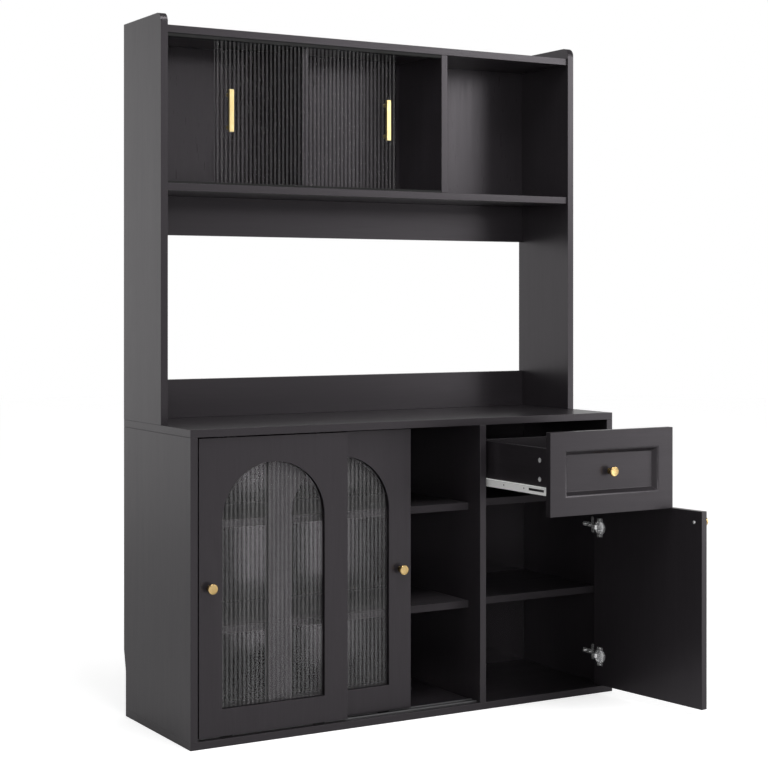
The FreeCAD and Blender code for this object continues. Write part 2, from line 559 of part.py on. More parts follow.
# Drawer, pulled out of the bay by drawer_pull
DRAWER_FRONT = "(%s - drawer_pull)" % FRONT
DRAWER_START = "(%s + board)" % DRAWER_FRONT
DRAWER_LOW = "(%s + drawer_lift)" % DRAWER_BOARD_TOP
DRAWER_LEFT = "(%s + slide_side_gap)" % DIVIDER_RIGHT
DRAWER_RIGHT = "(%s - slide_side_gap)" % IN_RIGHT
DRAWER_INSIDE = "(%s - %s - 2*drawer_side)" % (DRAWER_RIGHT, DRAWER_LEFT)
FACE_LOW = "(%s + front_split_gap/2)" % FRONT_SPLIT
FACE_TALL = "(%s - front_gap_top - %s)" % (UNDER_TOP, FACE_LOW)
SHEET_LOW = "(%s + drawer_sheet_up)" % DRAWER_LOW
GROOVE_LOW = "(%s - groove_clear/2)" % SHEET_LOW
GROOVE_TALL = "(drawer_sheet + groove_clear)"
FACE_X = "(%s + front_gap)" % DIVIDER_RIGHT
FACE_KNOB_X = "(%s + %s/2)" % (FACE_X, FRONT_WIDTH)
FACE_KNOB_Z = "(%s + %s/2)" % (FACE_LOW, FACE_TALL)
FACE_THIN = "(board - recess_depth)"

face = front_panel("drawer_face", FRONT_WIDTH, FACE_TALL)
place(face, FACE_X, DRAWER_START, FACE_LOW)
tools = [box("%s + drawer_side - drawer_groove" % DRAWER_LEFT, "%s - face_groove" % DRAWER_START, GROOVE_LOW,
             "%s + 2*drawer_groove" % DRAWER_INSIDE, "face_groove", GROOVE_TALL),
         rod(FACE_KNOB_X, DRAWER_FRONT, FACE_KNOB_Z, "screw_radius + screw_clear", "board", Y_AXIS)]
node("drawer_front", cut(face, tools))
knob("drawer_knob", FACE_KNOB_X, "%s + recess_depth" % DRAWER_FRONT, FACE_KNOB_Z)
knob_screw("drawer_knob_screw", FACE_KNOB_X, DRAWER_START, FACE_KNOB_Z, FACE_THIN)

CAM_Y = "(%s + cam_back)" % DRAWER_START
CAM_HEIGHTS = ["(%s + cam_low)" % DRAWER_LOW, "(%s + cam_low + cam_spacing)" % DRAWER_LOW]
cams = []
for label, start, groove_x, cam_x, slot_x in (
        ("drawer_side_left", DRAWER_LEFT, "%s + drawer_side - drawer_groove" % DRAWER_LEFT, DRAWER_LEFT,
         DRAWER_LEFT),
        ("drawer_side_right", "%s - drawer_side" % DRAWER_RIGHT, "%s - drawer_side" % DRAWER_RIGHT,
         "%s - cam_depth" % DRAWER_RIGHT, "%s - cam_slot" % DRAWER_RIGHT)):
    side = box(start, DRAWER_START, DRAWER_LOW, "drawer_side", "drawer_depth", "drawer_side_height")
    tools = [box(groove_x, DRAWER_START, GROOVE_LOW, "drawer_groove", "drawer_depth", GROOVE_TALL)]
    for height in CAM_HEIGHTS:
        tools.append(rod(cam_x, CAM_Y, height, "cam_radius + cup_clear", "cam_depth", X_AXIS))
        cam = rod(cam_x, CAM_Y, height, "cam_radius", "cam_depth", X_AXIS)
        slots = [box(slot_x, "%s - cam_radius/2" % CAM_Y, "%s - cam_slot/2" % height, "cam_slot",
                     "cam_radius", "cam_slot"),
                 box(slot_x, "%s - cam_slot/2" % CAM_Y, "%s - cam_radius/2" % height, "cam_slot", "cam_slot",
                     "cam_radius")]
        cams.append(cut(cam, slots))
    node(label, cut(side, tools))
node("drawer_cams", group(cams))
node("drawer_back", box("%s + drawer_side" % DRAWER_LEFT, "%s + drawer_depth - drawer_side" % DRAWER_START,
                        "%s + drawer_sheet" % SHEET_LOW, DRAWER_INSIDE, "drawer_side",
                        "drawer_side_height - drawer_sheet_up - drawer_sheet"))
node("drawer_bottom", box("%s + drawer_side - drawer_groove + groove_clear" % DRAWER_LEFT,
                          "%s - face_groove + groove_clear" % DRAWER_START, SHEET_LOW,
                          "%s + 2*drawer_groove - 2*groove_clear" % DRAWER_INSIDE,
                          "drawer_depth + face_groove - groove_clear", "drawer_sheet"))

# Roller slides: a channel on each wall of the bay, a rail on each drawer side, and their rollers
RAIL_LOW = "(%s - metal_thick)" % DRAWER_LOW
RAIL_TOP = "(%s + slide_height)" % RAIL_LOW
ROLLER_Z = "(%s - metal_thick - roller_clear - roller_radius)" % RAIL_TOP
CHANNEL_LOW = "(%s - roller_radius - roller_clear - metal_thick)" % ROLLER_Z
CHANNEL_TOP = "(%s + roller_clear + roller_clear + metal_thick)" % RAIL_TOP
ROLLER_FRONT_Y = "(%s + roller_front)" % FRONT
ROLLER_REAR_Y = "(%s + drawer_depth - roller_rear)" % DRAWER_START
CHANNEL_Y = "(%s + channel_start)" % FRONT
HOLE_Z = "(%s + slide_height/2)" % RAIL_LOW
rollers = {"front": [], "rear": []}
channels = []
for side, edge, way in (("left", DIVIDER_RIGHT, 1), ("right", IN_RIGHT, -1)):

    def from_wall(near_edge, depth):
        """Where a piece starts that lies between two distances from this wall."""
        return "%s + %s" % (edge, near_edge) if way > 0 else "%s - %s - %s" % (edge, near_edge, depth)

    def strip(off, y, z, deep, run, tall):
        return box(from_wall(off, deep), y, z, deep, run, tall)

    def peg(off, y, z, radius, deep):
        return rod(from_wall(off, deep), y, z, radius, deep, X_AXIS)

    roller_end = "(roller_off_wall + roller_width)"
    channel = [strip("0", CHANNEL_Y, CHANNEL_LOW, "metal_thick", "drawer_depth",
                     "%s - %s" % (CHANNEL_TOP, CHANNEL_LOW)),
               strip("0", CHANNEL_Y, CHANNEL_LOW, "channel_flange", "drawer_depth", "metal_thick"),
               strip("0", CHANNEL_Y, "%s - metal_thick" % CHANNEL_TOP, "channel_lip", "drawer_depth",
                     "metal_thick"),
               peg("metal_thick/2", ROLLER_FRONT_Y, ROLLER_Z, "axle_radius",
                   "(%s - metal_thick/2 + roller_clear + axle_head_thick/2)" % roller_end),
               peg("(%s + roller_clear)" % roller_end, ROLLER_FRONT_Y, ROLLER_Z, "axle_head",
                   "axle_head_thick")]
    channels.append(fuse(channel))
    plate_off = "(slide_side_gap - metal_thick)"
    rail_run = "drawer_depth"
    rail = [strip(plate_off, DRAWER_START, RAIL_LOW, "metal_thick", rail_run, "slide_height"),
            strip(plate_off, DRAWER_START, RAIL_LOW, "slide_flange", rail_run, "metal_thick"),
            strip("(slide_side_gap - metal_thick - slide_lip_width)", DRAWER_START,
                  "%s - metal_thick" % RAIL_TOP, "(slide_lip_width + metal_thick)", rail_run, "metal_thick"),
            peg("(roller_off_wall - roller_clear - axle_head_thick/2)", ROLLER_REAR_Y, ROLLER_Z,
                "axle_radius",
                "(slide_side_gap - metal_thick/2 - roller_off_wall + roller_clear + axle_head_thick/2)"),
            peg("(roller_off_wall - roller_clear - axle_head_thick)", ROLLER_REAR_Y, ROLLER_Z, "axle_head",
                "axle_head_thick")]
    openings = [peg(plate_off, "%s + %s" % (DRAWER_START, at), HOLE_Z, "hole_radius", "metal_thick")
                for at in ("hole_one", "hole_two")]
    openings.append(strip(plate_off, "%s + slot_from" % DRAWER_START, "%s - slot_width/2" % HOLE_Z,
                          "metal_thick", "slot_length", "slot_width"))
    node("slide_drawer_" + side, cut(fuse(rail), openings))
    for end, along in (("front", ROLLER_FRONT_Y), ("rear", ROLLER_REAR_Y)):
        wheel = peg("roller_off_wall", along, ROLLER_Z, "roller_radius", "roller_width")
        bore = peg("roller_off_wall", along, ROLLER_Z, "axle_radius + axle_clear", "roller_width")
        rollers[end].append(cut(wheel, [bore]))
node("slide_cabinet_channels", group(channels))
for end in rollers:
    node("slide_rollers_" + end, group(rollers[end]))

# Hutch: sides with a rounded top front corner, boards, rails and back sheet
for label, start, groove_start in (("hutch_side_left", LEFT, "%s - groove_depth" % IN_LEFT),
                                   ("hutch_side_right", IN_RIGHT, IN_RIGHT)):
    panel = new_body(label + "_body")
    profile = pad(panel, "YZ_Plane", rectangle(HUTCH_FRONT, "base_height", "hutch_depth",
                                               "(unit_height - base_height)"), "board")
    front_y = SIZES["base_depth"] / 2 - SIZES["hutch_depth"]
    top_z = SIZES["unit_height"]
    round_edges(panel, profile, "corner_radius",
                lambda edge: abs(edge.BoundBox.YMax - front_y) < 1e-3
                and abs(edge.BoundBox.ZMin - top_z) < 1e-3)
    place(panel, start)
    groove = box(groove_start, "%s - groove_clear/2" % HUTCH_SHEET_FRONT, HUTCH_SHELF_TOP, "groove_depth",
                 "back_sheet + groove_clear", "hutch_bay_height")
    node(label, cut(panel, [groove]))
node("hutch_top_board", box(IN_LEFT, HUTCH_INNER, HUTCH_UNDER_TOP, INSIDE, HUTCH_BOARD_DEPTH, "board"))
node("hutch_shelf", box(IN_LEFT, HUTCH_INNER, "%s - board" % HUTCH_SHELF_TOP, INSIDE, HUTCH_BOARD_DEPTH,
                        "board"))
node("hutch_divider", box(HUTCH_DIVIDER_LEFT, HUTCH_INNER, HUTCH_SHELF_TOP, "board",
                          "%s - %s" % (HUTCH_SHEET_FRONT, HUTCH_INNER),
                          "hutch_bay_height"))
node("hutch_back_panel", box("%s - groove_depth + groove_clear" % IN_LEFT, HUTCH_SHEET_FRONT, HUTCH_SHELF_TOP,
                             "%s + 2*groove_depth - 2*groove_clear" % INSIDE, "back_sheet",
                             "hutch_bay_height"))
node("hutch_apron_rail", box(IN_LEFT, "%s - board" % BACK, "%s - board - apron_height" % HUTCH_SHELF_TOP,
                             INSIDE, "board", "apron_height"))
node("hutch_backsplash_rail", box(IN_LEFT, "%s - board" % BACK, "base_height", INSIDE, "board",
                                  "backsplash_height"))

# Hutch tracks and sliding fluted panels with bar handles
PANEL = "(pane + rib_height)"
CHANNEL = "(%s + 2*channel_side)" % PANEL
TRACK_Y = "(%s + hutch_track_inset)" % HUTCH_INNER
TRACK_DEPTH = "(3*track_lip + 2*%s)" % CHANNEL
HUTCH_RUN = "(%s - %s)" % (HUTCH_DIVIDER_LEFT, IN_LEFT)
PANEL_WIDTH = "((%s + panel_overlap)/2)" % HUTCH_RUN
INNER_FRONT = "(%s + %s + inner_divider_gap)" % (TRACK_Y, TRACK_DEPTH)
node("hutch_inner_divider", box("%s + %s/2 - board/2" % (IN_LEFT, HUTCH_RUN), INNER_FRONT, HUTCH_SHELF_TOP,
                                "board", "%s - %s" % (HUTCH_SHEET_FRONT, INNER_FRONT), "hutch_bay_height"))
for label, base_z, lip_z, tall in (
        ("hutch_track_lower", HUTCH_SHELF_TOP, HUTCH_SHELF_TOP, "lower_track"),
        ("hutch_track_upper", "%s - track_base" % HUTCH_UNDER_TOP, "%s - upper_track" % HUTCH_UNDER_TOP,
         "upper_track")):
    strips = [box(IN_LEFT, TRACK_Y, base_z, HUTCH_RUN, TRACK_DEPTH, "track_base")]
    for count in range(3):
        strips.append(box(IN_LEFT, "%s + %d*(track_lip + %s)" % (TRACK_Y, count, CHANNEL), lip_z, HUTCH_RUN,
                          "track_lip", tall))
    node(label, fuse(strips))

PANEL_LOW = "(%s + track_base + panel_lift)" % HUTCH_SHELF_TOP
PANEL_TALL = "(%s - track_base - panel_top_gap - %s)" % (HUTCH_UNDER_TOP, PANEL_LOW)
HANDLE_LOW = "(%s + %s/2 - handle_length/2)" % (PANEL_LOW, PANEL_TALL)
for side, start, row, handle_at in (
        ("left", "(%s + left_panel_offset)" % IN_LEFT, 0, "handle_edge"),
        ("right", "(%s - right_panel_offset - %s)" % (HUTCH_DIVIDER_LEFT, PANEL_WIDTH), 1,
         "(%s - handle_edge)" % PANEL_WIDTH)):
    face_y = "(%s + track_lip + channel_side + %d*(track_lip + %s))" % (TRACK_Y, row, CHANNEL)
    fluted_pane("hutch_glass_" + side, start, face_y, PANEL_LOW, PANEL_WIDTH, PANEL_TALL)
    bar = new_body("hutch_bar_" + side)
    block = pad(bar, "XY_Plane", rectangle("-handle_width/2", "-handle_post - handle_depth", "handle_width",
                                           "handle_depth"), "handle_length")
    round_edges(bar, block, "handle_round", lambda edge: edge.BoundBox.YLength < 1e-6
                and abs(edge.BoundBox.YMin + SIZES["handle_post"] + SIZES["handle_depth"]) < 1e-6)
    place(bar, "%s + %s" % (start, handle_at), face_y, HANDLE_LOW)
    posts = [rod("%s + %s" % (start, handle_at), "%s - handle_post - handle_depth/2" % face_y,
                 "%s + %s" % (HANDLE_LOW, up), "handle_post_radius", "handle_post + handle_depth/2", Y_AXIS)
             for up in ("handle_post_inset", "handle_length - handle_post_inset")]
    node("hutch_handle_" + side, fuse([bar] + posts))

# Build, test every object and write one file for each piece
doc.recompute()
for thing in doc.Objects:
    if "Invalid" in thing.State or "Error" in thing.State:
        raise RuntimeError("failed object: " + thing.Label)
for label, thing in NODES.items():
    if thing.Shape.isNull() or not thing.Shape.isValid():
        raise RuntimeError("bad shape: " + label)
os.makedirs("parts", exist_ok=True)
for label, thing in NODES.items():
    thing.Shape.exportStep("parts/%s.step" % label)
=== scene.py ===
import json
import math

import bmesh
import bpy
from mathutils import Matrix, Vector


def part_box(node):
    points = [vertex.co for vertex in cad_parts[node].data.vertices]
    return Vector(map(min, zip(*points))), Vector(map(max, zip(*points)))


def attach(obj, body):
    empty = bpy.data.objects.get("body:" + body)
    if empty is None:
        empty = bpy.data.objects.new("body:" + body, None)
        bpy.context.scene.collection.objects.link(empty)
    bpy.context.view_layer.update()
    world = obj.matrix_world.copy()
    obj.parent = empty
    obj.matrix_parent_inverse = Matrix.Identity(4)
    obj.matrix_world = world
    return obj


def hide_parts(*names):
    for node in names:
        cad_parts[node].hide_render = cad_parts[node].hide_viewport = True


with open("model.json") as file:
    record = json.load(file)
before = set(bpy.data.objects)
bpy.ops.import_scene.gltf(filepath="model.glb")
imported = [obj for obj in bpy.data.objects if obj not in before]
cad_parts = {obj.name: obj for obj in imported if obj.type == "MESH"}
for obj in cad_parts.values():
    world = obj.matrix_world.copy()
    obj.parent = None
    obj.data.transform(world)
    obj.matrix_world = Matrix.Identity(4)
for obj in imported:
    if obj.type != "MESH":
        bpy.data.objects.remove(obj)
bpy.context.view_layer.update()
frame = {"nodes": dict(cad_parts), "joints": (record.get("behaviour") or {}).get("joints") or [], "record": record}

NODES = frame["nodes"]
BODIES = frame["record"]["behaviour"]["bodies"]
BODY_OF = {node: body for body, nodes in BODIES.items() for node in nodes}
MM = 0.001
X, Y, Z = 0, 1, 2
IN_PLACE = Matrix.Identity(4)

# The hinged door stands open at rest, and this matrix turns it there from closed
DOOR_JOINT = next(joint for joint in frame["joints"] if joint["name"] == "door_swing")
DOOR_PIN = Vector(DOOR_JOINT["pos_m"])
DOOR_OPENING = -math.radians(DOOR_JOINT["range_deg"][0])
TO_PIN = Matrix.Translation(DOOR_PIN)
FROM_PIN = Matrix.Translation(-DOOR_PIN)
DOOR_TURN = TO_PIN @ Matrix.Rotation(DOOR_OPENING, 4, "Z") @ FROM_PIN


# Node helpers for the materials

def new_material(name):
    """An empty material with a Principled shader on its output."""
    material = bpy.data.materials.new(name)
    material.use_nodes = True
    tree = material.node_tree
    tree.nodes.clear()
    output = tree.nodes.new("ShaderNodeOutputMaterial")
    shader = tree.nodes.new("ShaderNodeBsdfPrincipled")
    tree.links.new(shader.outputs["BSDF"], output.inputs["Surface"])
    return material, tree, shader


def to_output(tree, surface):
    """Put another shader on the material's output."""
    output = next(node for node in tree.nodes if node.type == "OUTPUT_MATERIAL")
    tree.links.new(surface, output.inputs["Surface"])


def marked(tree, layer):
    """The value that a face layer holds: edge, neck (painted shade), rib or ground."""
    node = tree.nodes.new("ShaderNodeAttribute")
    node.attribute_name = layer
    return node.outputs["Fac"]


def noise(tree, scale, detail=4.0, roughness=0.55, distortion=0.0):
    """Noise in the piece's own coordinates, with a scale for each axis in cells per metre."""
    place = tree.nodes.new("ShaderNodeTexCoord")
    stretch = tree.nodes.new("ShaderNodeMapping")
    texture = tree.nodes.new("ShaderNodeTexNoise")
    stretch.inputs["Scale"].default_value = scale
    texture.inputs["Scale"].default_value = 1.0
    texture.inputs["Detail"].default_value = detail
    texture.inputs["Roughness"].default_value = roughness
    texture.inputs["Distortion"].default_value = distortion
    tree.links.new(place.outputs["Object"], stretch.inputs["Vector"])
    tree.links.new(stretch.outputs["Vector"], texture.inputs["Vector"])
    return texture.outputs["Fac"]


def stretched(across, along, axis):
    """A noise scale that is even, or has other cells along one axis."""
    scale = [across] * 3
    if axis is not None:
        scale[axis] = along
    return scale


def remap(tree, value, low, high, to_low, to_high):
    """A number moved from one range to another and held inside it."""
    node = tree.nodes.new("ShaderNodeMapRange")
    limits_of = {"From Min": low, "From Max": high, "To Min": to_low, "To Max": to_high}
    for name, number in limits_of.items():
        node.inputs[name].default_value = number
    tree.links.new(value, node.inputs["Value"])
    return node.outputs["Result"]


def spread(tree, texture, to_low, to_high):
    """The usual range of a noise moved to another range."""
    return remap(tree, texture, 0.3, 0.7, to_low, to_high)


def combine(tree, operation, first, second):
    """One number out of two, each a socket or a plain number."""
    node = tree.nodes.new("ShaderNodeMath")
    node.operation = operation
    node.use_clamp = True
    for socket, value in zip(node.inputs, (first, second)):
        if isinstance(value, (int, float)):
            socket.default_value = value
        else:
            tree.links.new(value, socket)
    return node.outputs["Value"]


def blend_colour(tree, share, first, second):
    """A colour between two, each a socket or an RGB triple."""
    node = tree.nodes.new("ShaderNodeMix")
    node.data_type = "RGBA"
    tree.links.new(share, node.inputs["Factor"])
    for name, value in (("A", first), ("B", second)):
        socket = next(s for s in node.inputs if s.name == name and s.type == "RGBA")
        if isinstance(value, tuple):
            socket.default_value = (*value, 1.0)
        else:
            tree.links.new(value, socket)
    return next(s for s in node.outputs if s.type == "RGBA")


def bump(tree, shader, height, depth):
    """Fine relief of a depth in metres."""
    node = tree.nodes.new("ShaderNodeBump")
    node.inputs["Strength"].default_value = 1.0
    node.inputs["Distance"].default_value = depth
    tree.links.new(height, node.inputs["Height"])
    tree.links.new(node.outputs["Normal"], shader.inputs["Normal"])


def edge_wear(tree, amount):
    """Patchy wear on the rounded edges."""
    patches = remap(tree, noise(tree, (90, 90, 90)), 0.42, 0.7, 0.0, amount)
    return combine(tree, "MULTIPLY", marked(tree, "edge"), patches)


# Materials

# Wood grain, in cells per metre
PORES_ACROSS, PORES_ALONG = 420.0, 16.0
FIGURE_ACROSS, FIGURE_ALONG = 48.0, 2.4
PORES_SHARE = 0.55
GRAIN_DEPTH = 0.05 * MM
BOARD_WEAR = 0.55
WORN_BOARD = (0.034, 0.033, 0.035)
WORN_DULLNESS = 0.12
BOARD_SHEEN = (1.0, 0.93, 1.0, 1.0)


def board_material(name, along, dark, light, smooth, rough, gloss=0.5):
    """Satin black melamine with a fine oak grain along one axis."""
    material, tree, shader = new_material(name)
    pores = noise(tree, stretched(PORES_ACROSS, PORES_ALONG, along), detail=3.0)
    figure = noise(tree, stretched(FIGURE_ACROSS, FIGURE_ALONG, along), detail=5.0, roughness=0.6,
                   distortion=0.8)
    fine = combine(tree, "MULTIPLY", pores, PORES_SHARE)
    broad = combine(tree, "MULTIPLY", figure, 1.0 - PORES_SHARE)
    grain = combine(tree, "ADD", fine, broad)
    worn = edge_wear(tree, BOARD_WEAR)
    tone = blend_colour(tree, remap(tree, grain, 0.32, 0.68, 0.0, 1.0), dark, light)
    tree.links.new(blend_colour(tree, worn, tone, WORN_BOARD), shader.inputs["Base Color"])
    sheen = spread(tree, grain, rough, smooth)
    dulled = combine(tree, "MULTIPLY", worn, WORN_DULLNESS)
    tree.links.new(combine(tree, "ADD", sheen, dulled), shader.inputs["Roughness"])
    shader.inputs["Specular IOR Level"].default_value = gloss
    shader.inputs["Specular Tint"].default_value = BOARD_SHEEN
    bump(tree, shader, grain, GRAIN_DEPTH)
    return material


BRUSHING_ACROSS, BRUSHING_ALONG = 900.0, 30.0
BRUSHING_DEPTH = 0.006 * MM
# Dimming of the deep colour for painted shade
PAINTED_SHADE = 0.12
METAL_WEAR = 0.08


def metal_material(name, colour, deep_colour, roughness, along=None, metallic=1.0):
    """Bare or plated metal with fine brushing along one axis, or a faint cast unevenness, and painted shade on
    faces in the neck layer.
    """
    material, tree, shader = new_material(name)
    brushing = noise(tree, stretched(BRUSHING_ACROSS, BRUSHING_ALONG, along), detail=2.0)
    stains = noise(tree, (60, 60, 60))
    shader.inputs["Metallic"].default_value = metallic
    tone = blend_colour(tree, remap(tree, stains, 0.35, 0.7, 0.0, 1.0), colour, deep_colour)
    # Painted shade: faces in the neck layer take a dim copy of the deep colour, for the shadow on knob necks and
    # the dark reflection on handle sides
    painted_shade_colour = tuple(PAINTED_SHADE * part for part in deep_colour)
    tree.links.new(blend_colour(tree, marked(tree, "neck"), tone, painted_shade_colour), shader.inputs["Base Color"])
    worn = edge_wear(tree, METAL_WEAR)
    dull = spread(tree, brushing, roughness * 0.8, roughness * 1.25)
    tree.links.new(combine(tree, "SUBTRACT", dull, worn), shader.inputs["Roughness"])
    bump(tree, shader, brushing, BRUSHING_DEPTH)
    return material


COAT_WEAR = 0.5
COAT_DEPTH = 0.02 * MM


def coat_material(name, colour, worn_colour, roughness, grain_size, gloss=0.5):
    """Paint or moulded plastic with a fine even texture."""
    material, tree, shader = new_material(name)
    texture = noise(tree, (grain_size, grain_size, grain_size), detail=2.0)
    worn = edge_wear(tree, COAT_WEAR)
    clouds = remap(tree, noise(tree, (25, 25, 25)), 0.35, 0.65, 0.0, 0.3)
    tone = blend_colour(tree, clouds, colour, worn_colour)
    tree.links.new(blend_colour(tree, worn, tone, worn_colour), shader.inputs["Base Color"])
    rough = spread(tree, texture, roughness * 0.85, roughness * 1.15)
    tree.links.new(rough, shader.inputs["Roughness"])
    shader.inputs["Specular IOR Level"].default_value = gloss
    bump(tree, shader, texture, COAT_DEPTH)
    return material


# Share of the way from a groove to a crest at which the painted shade of the groove ends
RIB_CLEAR = 0.45
CREST_TINT = (0.99, 0.98, 0.99)
PANE_IOR = 1.14
PANE_ROUGHNESS = 0.015
PANE_DEPTH = 0.0015 * MM
GROUND_EDGE = 0.16
NO_MIRROR = (0.0, 0.0, 0.0, 1.0)
PASSED_LIGHT = (0.98, 0.98, 0.98, 1.0)


def glass_material(name, painted_groove_shade, crest_painted_highlight, crest_from, crest_to):
    """Pressed glass that lets lamps through, with painted shade in the rib grooves and a painted highlight of lit
    mist on the crests.
    """
    material, tree, shader = new_material(name)
    rib = marked(tree, "rib")
    groove = remap(tree, rib, 0.0, RIB_CLEAR, 0.0, 1.0)
    # Painted shade: the grooves take a darker tint, standing in for the dark stripes the ribs bend into view
    tree.links.new(blend_colour(tree, groove, painted_groove_shade, CREST_TINT), shader.inputs["Base Color"])
    clouds = noise(tree, (25, 25, 4), detail=3.0)
    # Painted highlight: a lit mist on the crests, standing in for the glints the ribs reflect; the ground ends are
    # milky glass
    crest = remap(tree, rib, crest_from, crest_to, 0.0, 1.0)
    uneven_painted_highlight = spread(tree, clouds, 0.8 * crest_painted_highlight, 1.2 * crest_painted_highlight)
    painted_crest_highlight = combine(tree, "MULTIPLY", crest, uneven_painted_highlight)
    ground = combine(tree, "MULTIPLY", marked(tree, "ground"), GROUND_EDGE)
    ground_and_highlight = combine(tree, "MAXIMUM", painted_crest_highlight, ground)
    tree.links.new(combine(tree, "SUBTRACT", 1.0, ground_and_highlight), shader.inputs["Transmission Weight"])
    shader.inputs["IOR"].default_value = PANE_IOR
    shader.inputs["Specular Tint"].default_value = NO_MIRROR
    tree.links.new(spread(tree, clouds, 0.0, PANE_ROUGHNESS), shader.inputs["Roughness"])
    bump(tree, shader, clouds, PANE_DEPTH)
    path = tree.nodes.new("ShaderNodeLightPath")
    lamps = combine(tree, "MAXIMUM", path.outputs["Is Shadow Ray"], path.outputs["Is Diffuse Ray"])
    passing = combine(tree, "MAXIMUM", lamps, path.outputs["Is Glossy Ray"])
    clear = tree.nodes.new("ShaderNodeBsdfTransparent")
    clear.inputs["Color"].default_value = PASSED_LIGHT
    mix = tree.nodes.new("ShaderNodeMixShader")
    tree.links.new(passing, mix.inputs[0])
    tree.links.new(shader.outputs["BSDF"], mix.inputs[1])
    tree.links.new(clear.outputs["BSDF"], mix.inputs[2])
    to_output(tree, mix.outputs["Shader"])
    return material


CREST_METAL = 0.6
CREST_BLEND = 0.2 * MM


def rail_material(name, crest, flange, level):
    """Floor rail with a dark flange flush in the board and a bright running crest above a level."""
    material, tree, shader = new_material(name)
    place = tree.nodes.new("ShaderNodeTexCoord")
    parts = tree.nodes.new("ShaderNodeSeparateXYZ")
    tree.links.new(place.outputs["Object"], parts.inputs["Vector"])
    above = remap(tree, parts.outputs["Z"], level, level + CREST_BLEND, 0.0, 1.0)
    brushing = noise(tree, stretched(BRUSHING_ACROSS, 20.0, X), detail=2.0)
    tree.links.new(blend_colour(tree, above, flange, crest), shader.inputs["Base Color"])
    tree.links.new(combine(tree, "MULTIPLY", above, CREST_METAL), shader.inputs["Metallic"])
    tree.links.new(spread(tree, brushing, 0.36, 0.48), shader.inputs["Roughness"])
    bump(tree, shader, brushing, BRUSHING_DEPTH)
    return material


DARK, LIGHT = (0.0112, 0.0098, 0.0112), (0.0172, 0.0150, 0.0172)
BOARD = {axis: board_material("black_board_" + "xyz"[axis], axis, DARK, LIGHT, 0.28, 0.36)
         for axis in (X, Y, Z)}
SHEET = board_material("black_sheet_z", Z, DARK, LIGHT, 0.26, 0.34)
# Lighter copies of the board colours: painted light on the base's inner shelves and back sheet, brightening what
# the lamps leave dark
PAINTED_LIT_DARK, PAINTED_LIT_LIGHT = (0.020, 0.018, 0.020), (0.030, 0.027, 0.030)
PAINTED_LIT_BOARD = board_material("painted_lit_matt_board_x", X, PAINTED_LIT_DARK, PAINTED_LIT_LIGHT, 0.32, 0.42, gloss=0.12)
PAINTED_LIT_SHEET = board_material("painted_lit_gloss_sheet_z", Z, PAINTED_LIT_DARK, PAINTED_LIT_LIGHT, 0.12, 0.18, gloss=1.0)
HUTCH_GLASS = glass_material("hutch_glass", painted_groove_shade=(0.12, 0.12, 0.12), crest_painted_highlight=0.034,
                             crest_from=0.50, crest_to=0.75)
BASE_GLASS = glass_material("base_glass", painted_groove_shade=(0.88, 0.88, 0.88), crest_painted_highlight=0.080,
                            crest_from=-0.25, crest_to=0.9)
BRASS = metal_material("satin_brass", (0.70, 0.50, 0.23), (0.62, 0.43, 0.18), 0.22)
BRUSHED_BRASS = metal_material("brushed_brass", (0.84, 0.68, 0.34), (0.77, 0.58, 0.26), 0.30,
                               along=Z, metallic=0.75)
ZINC = metal_material("zinc_steel", (0.68, 0.68, 0.69), (0.60, 0.60, 0.60), 0.34, metallic=0.6)
CHROME = metal_material("bright_nickel", (0.86, 0.86, 0.87), (0.78, 0.78, 0.78), 0.24, metallic=0.75)
RAIL_CREST_LEVEL = 18.4 * MM
ALUMINIUM = rail_material("rail_aluminium", (0.15, 0.15, 0.155), (0.016, 0.015, 0.016), RAIL_CREST_LEVEL)
WHITE = coat_material("white_steel", (0.87, 0.87, 0.86), (0.78, 0.78, 0.77), 0.38, 700.0)
PLASTIC = coat_material("black_plastic", (0.008, 0.008, 0.008), (0.018, 0.018, 0.018), 0.6, 1200.0,
                        gloss=0.2)


# Geometry helpers

WELD = 0.001 * MM
FLAT_ANGLE = math.radians(0.5)
SHARP_ANGLE = math.radians(25)


def shown(name, mesh, material, node, sharp_angle=40.0):
    """Turn a bmesh into a piece that stands for a CAD node and rides on its body."""
    data = bpy.data.meshes.new(name)
    bmesh.ops.recalc_face_normals(mesh, faces=mesh.faces)
    mesh.to_mesh(data)
    mesh.free()
    data.polygons.foreach_set("use_smooth", [True] * len(data.polygons))
    data.set_sharp_from_angle(angle=math.radians(sharp_angle))
    piece = bpy.data.objects.new(name, data)
    bpy.context.scene.collection.objects.link(piece)
    piece.data.materials.append(material)
    normals = piece.modifiers.new("even_faces", "WEIGHTED_NORMAL")
    normals.keep_sharp = True
    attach(piece, BODY_OF[node])
    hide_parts(node)


def copied(node):
    """A welded copy of a CAD piece's mesh, with its flat faces whole."""
    mesh = bmesh.new()
    mesh.from_mesh(NODES[node].data)
    bmesh.ops.remove_doubles(mesh, verts=mesh.verts, dist=WELD)
    bmesh.ops.dissolve_limit(mesh, angle_limit=FLAT_ANGLE, verts=mesh.verts, edges=mesh.edges)
    return mesh


def round_edges(mesh, width, steps=2, shortest=0.0, wanted=None):
    """Round the sharp edges and mark the rounding for wear."""
    mark = mesh.faces.layers.float.get("edge") or mesh.faces.layers.float.new("edge")
    picked = [edge for edge in mesh.edges
              if edge.is_manifold and edge.calc_face_angle() > SHARP_ANGLE
              and edge.calc_length() > shortest and (wanted is None or wanted(edge))]
    made = bmesh.ops.bevel(mesh, geom=picked, offset=width, offset_type="OFFSET", segments=steps,
                           profile=0.5, affect="EDGES", clamp_overlap=True)
    for face in made["faces"]:
        face[mark] = 1.0


def limits(verts):
    """The low and the high corner of some vertices."""
    places = [vert.co for vert in verts]
    low = Vector(min(place[k] for place in places) for k in (X, Y, Z))
    high = Vector(max(place[k] for place in places) for k in (X, Y, Z))
    return low, high


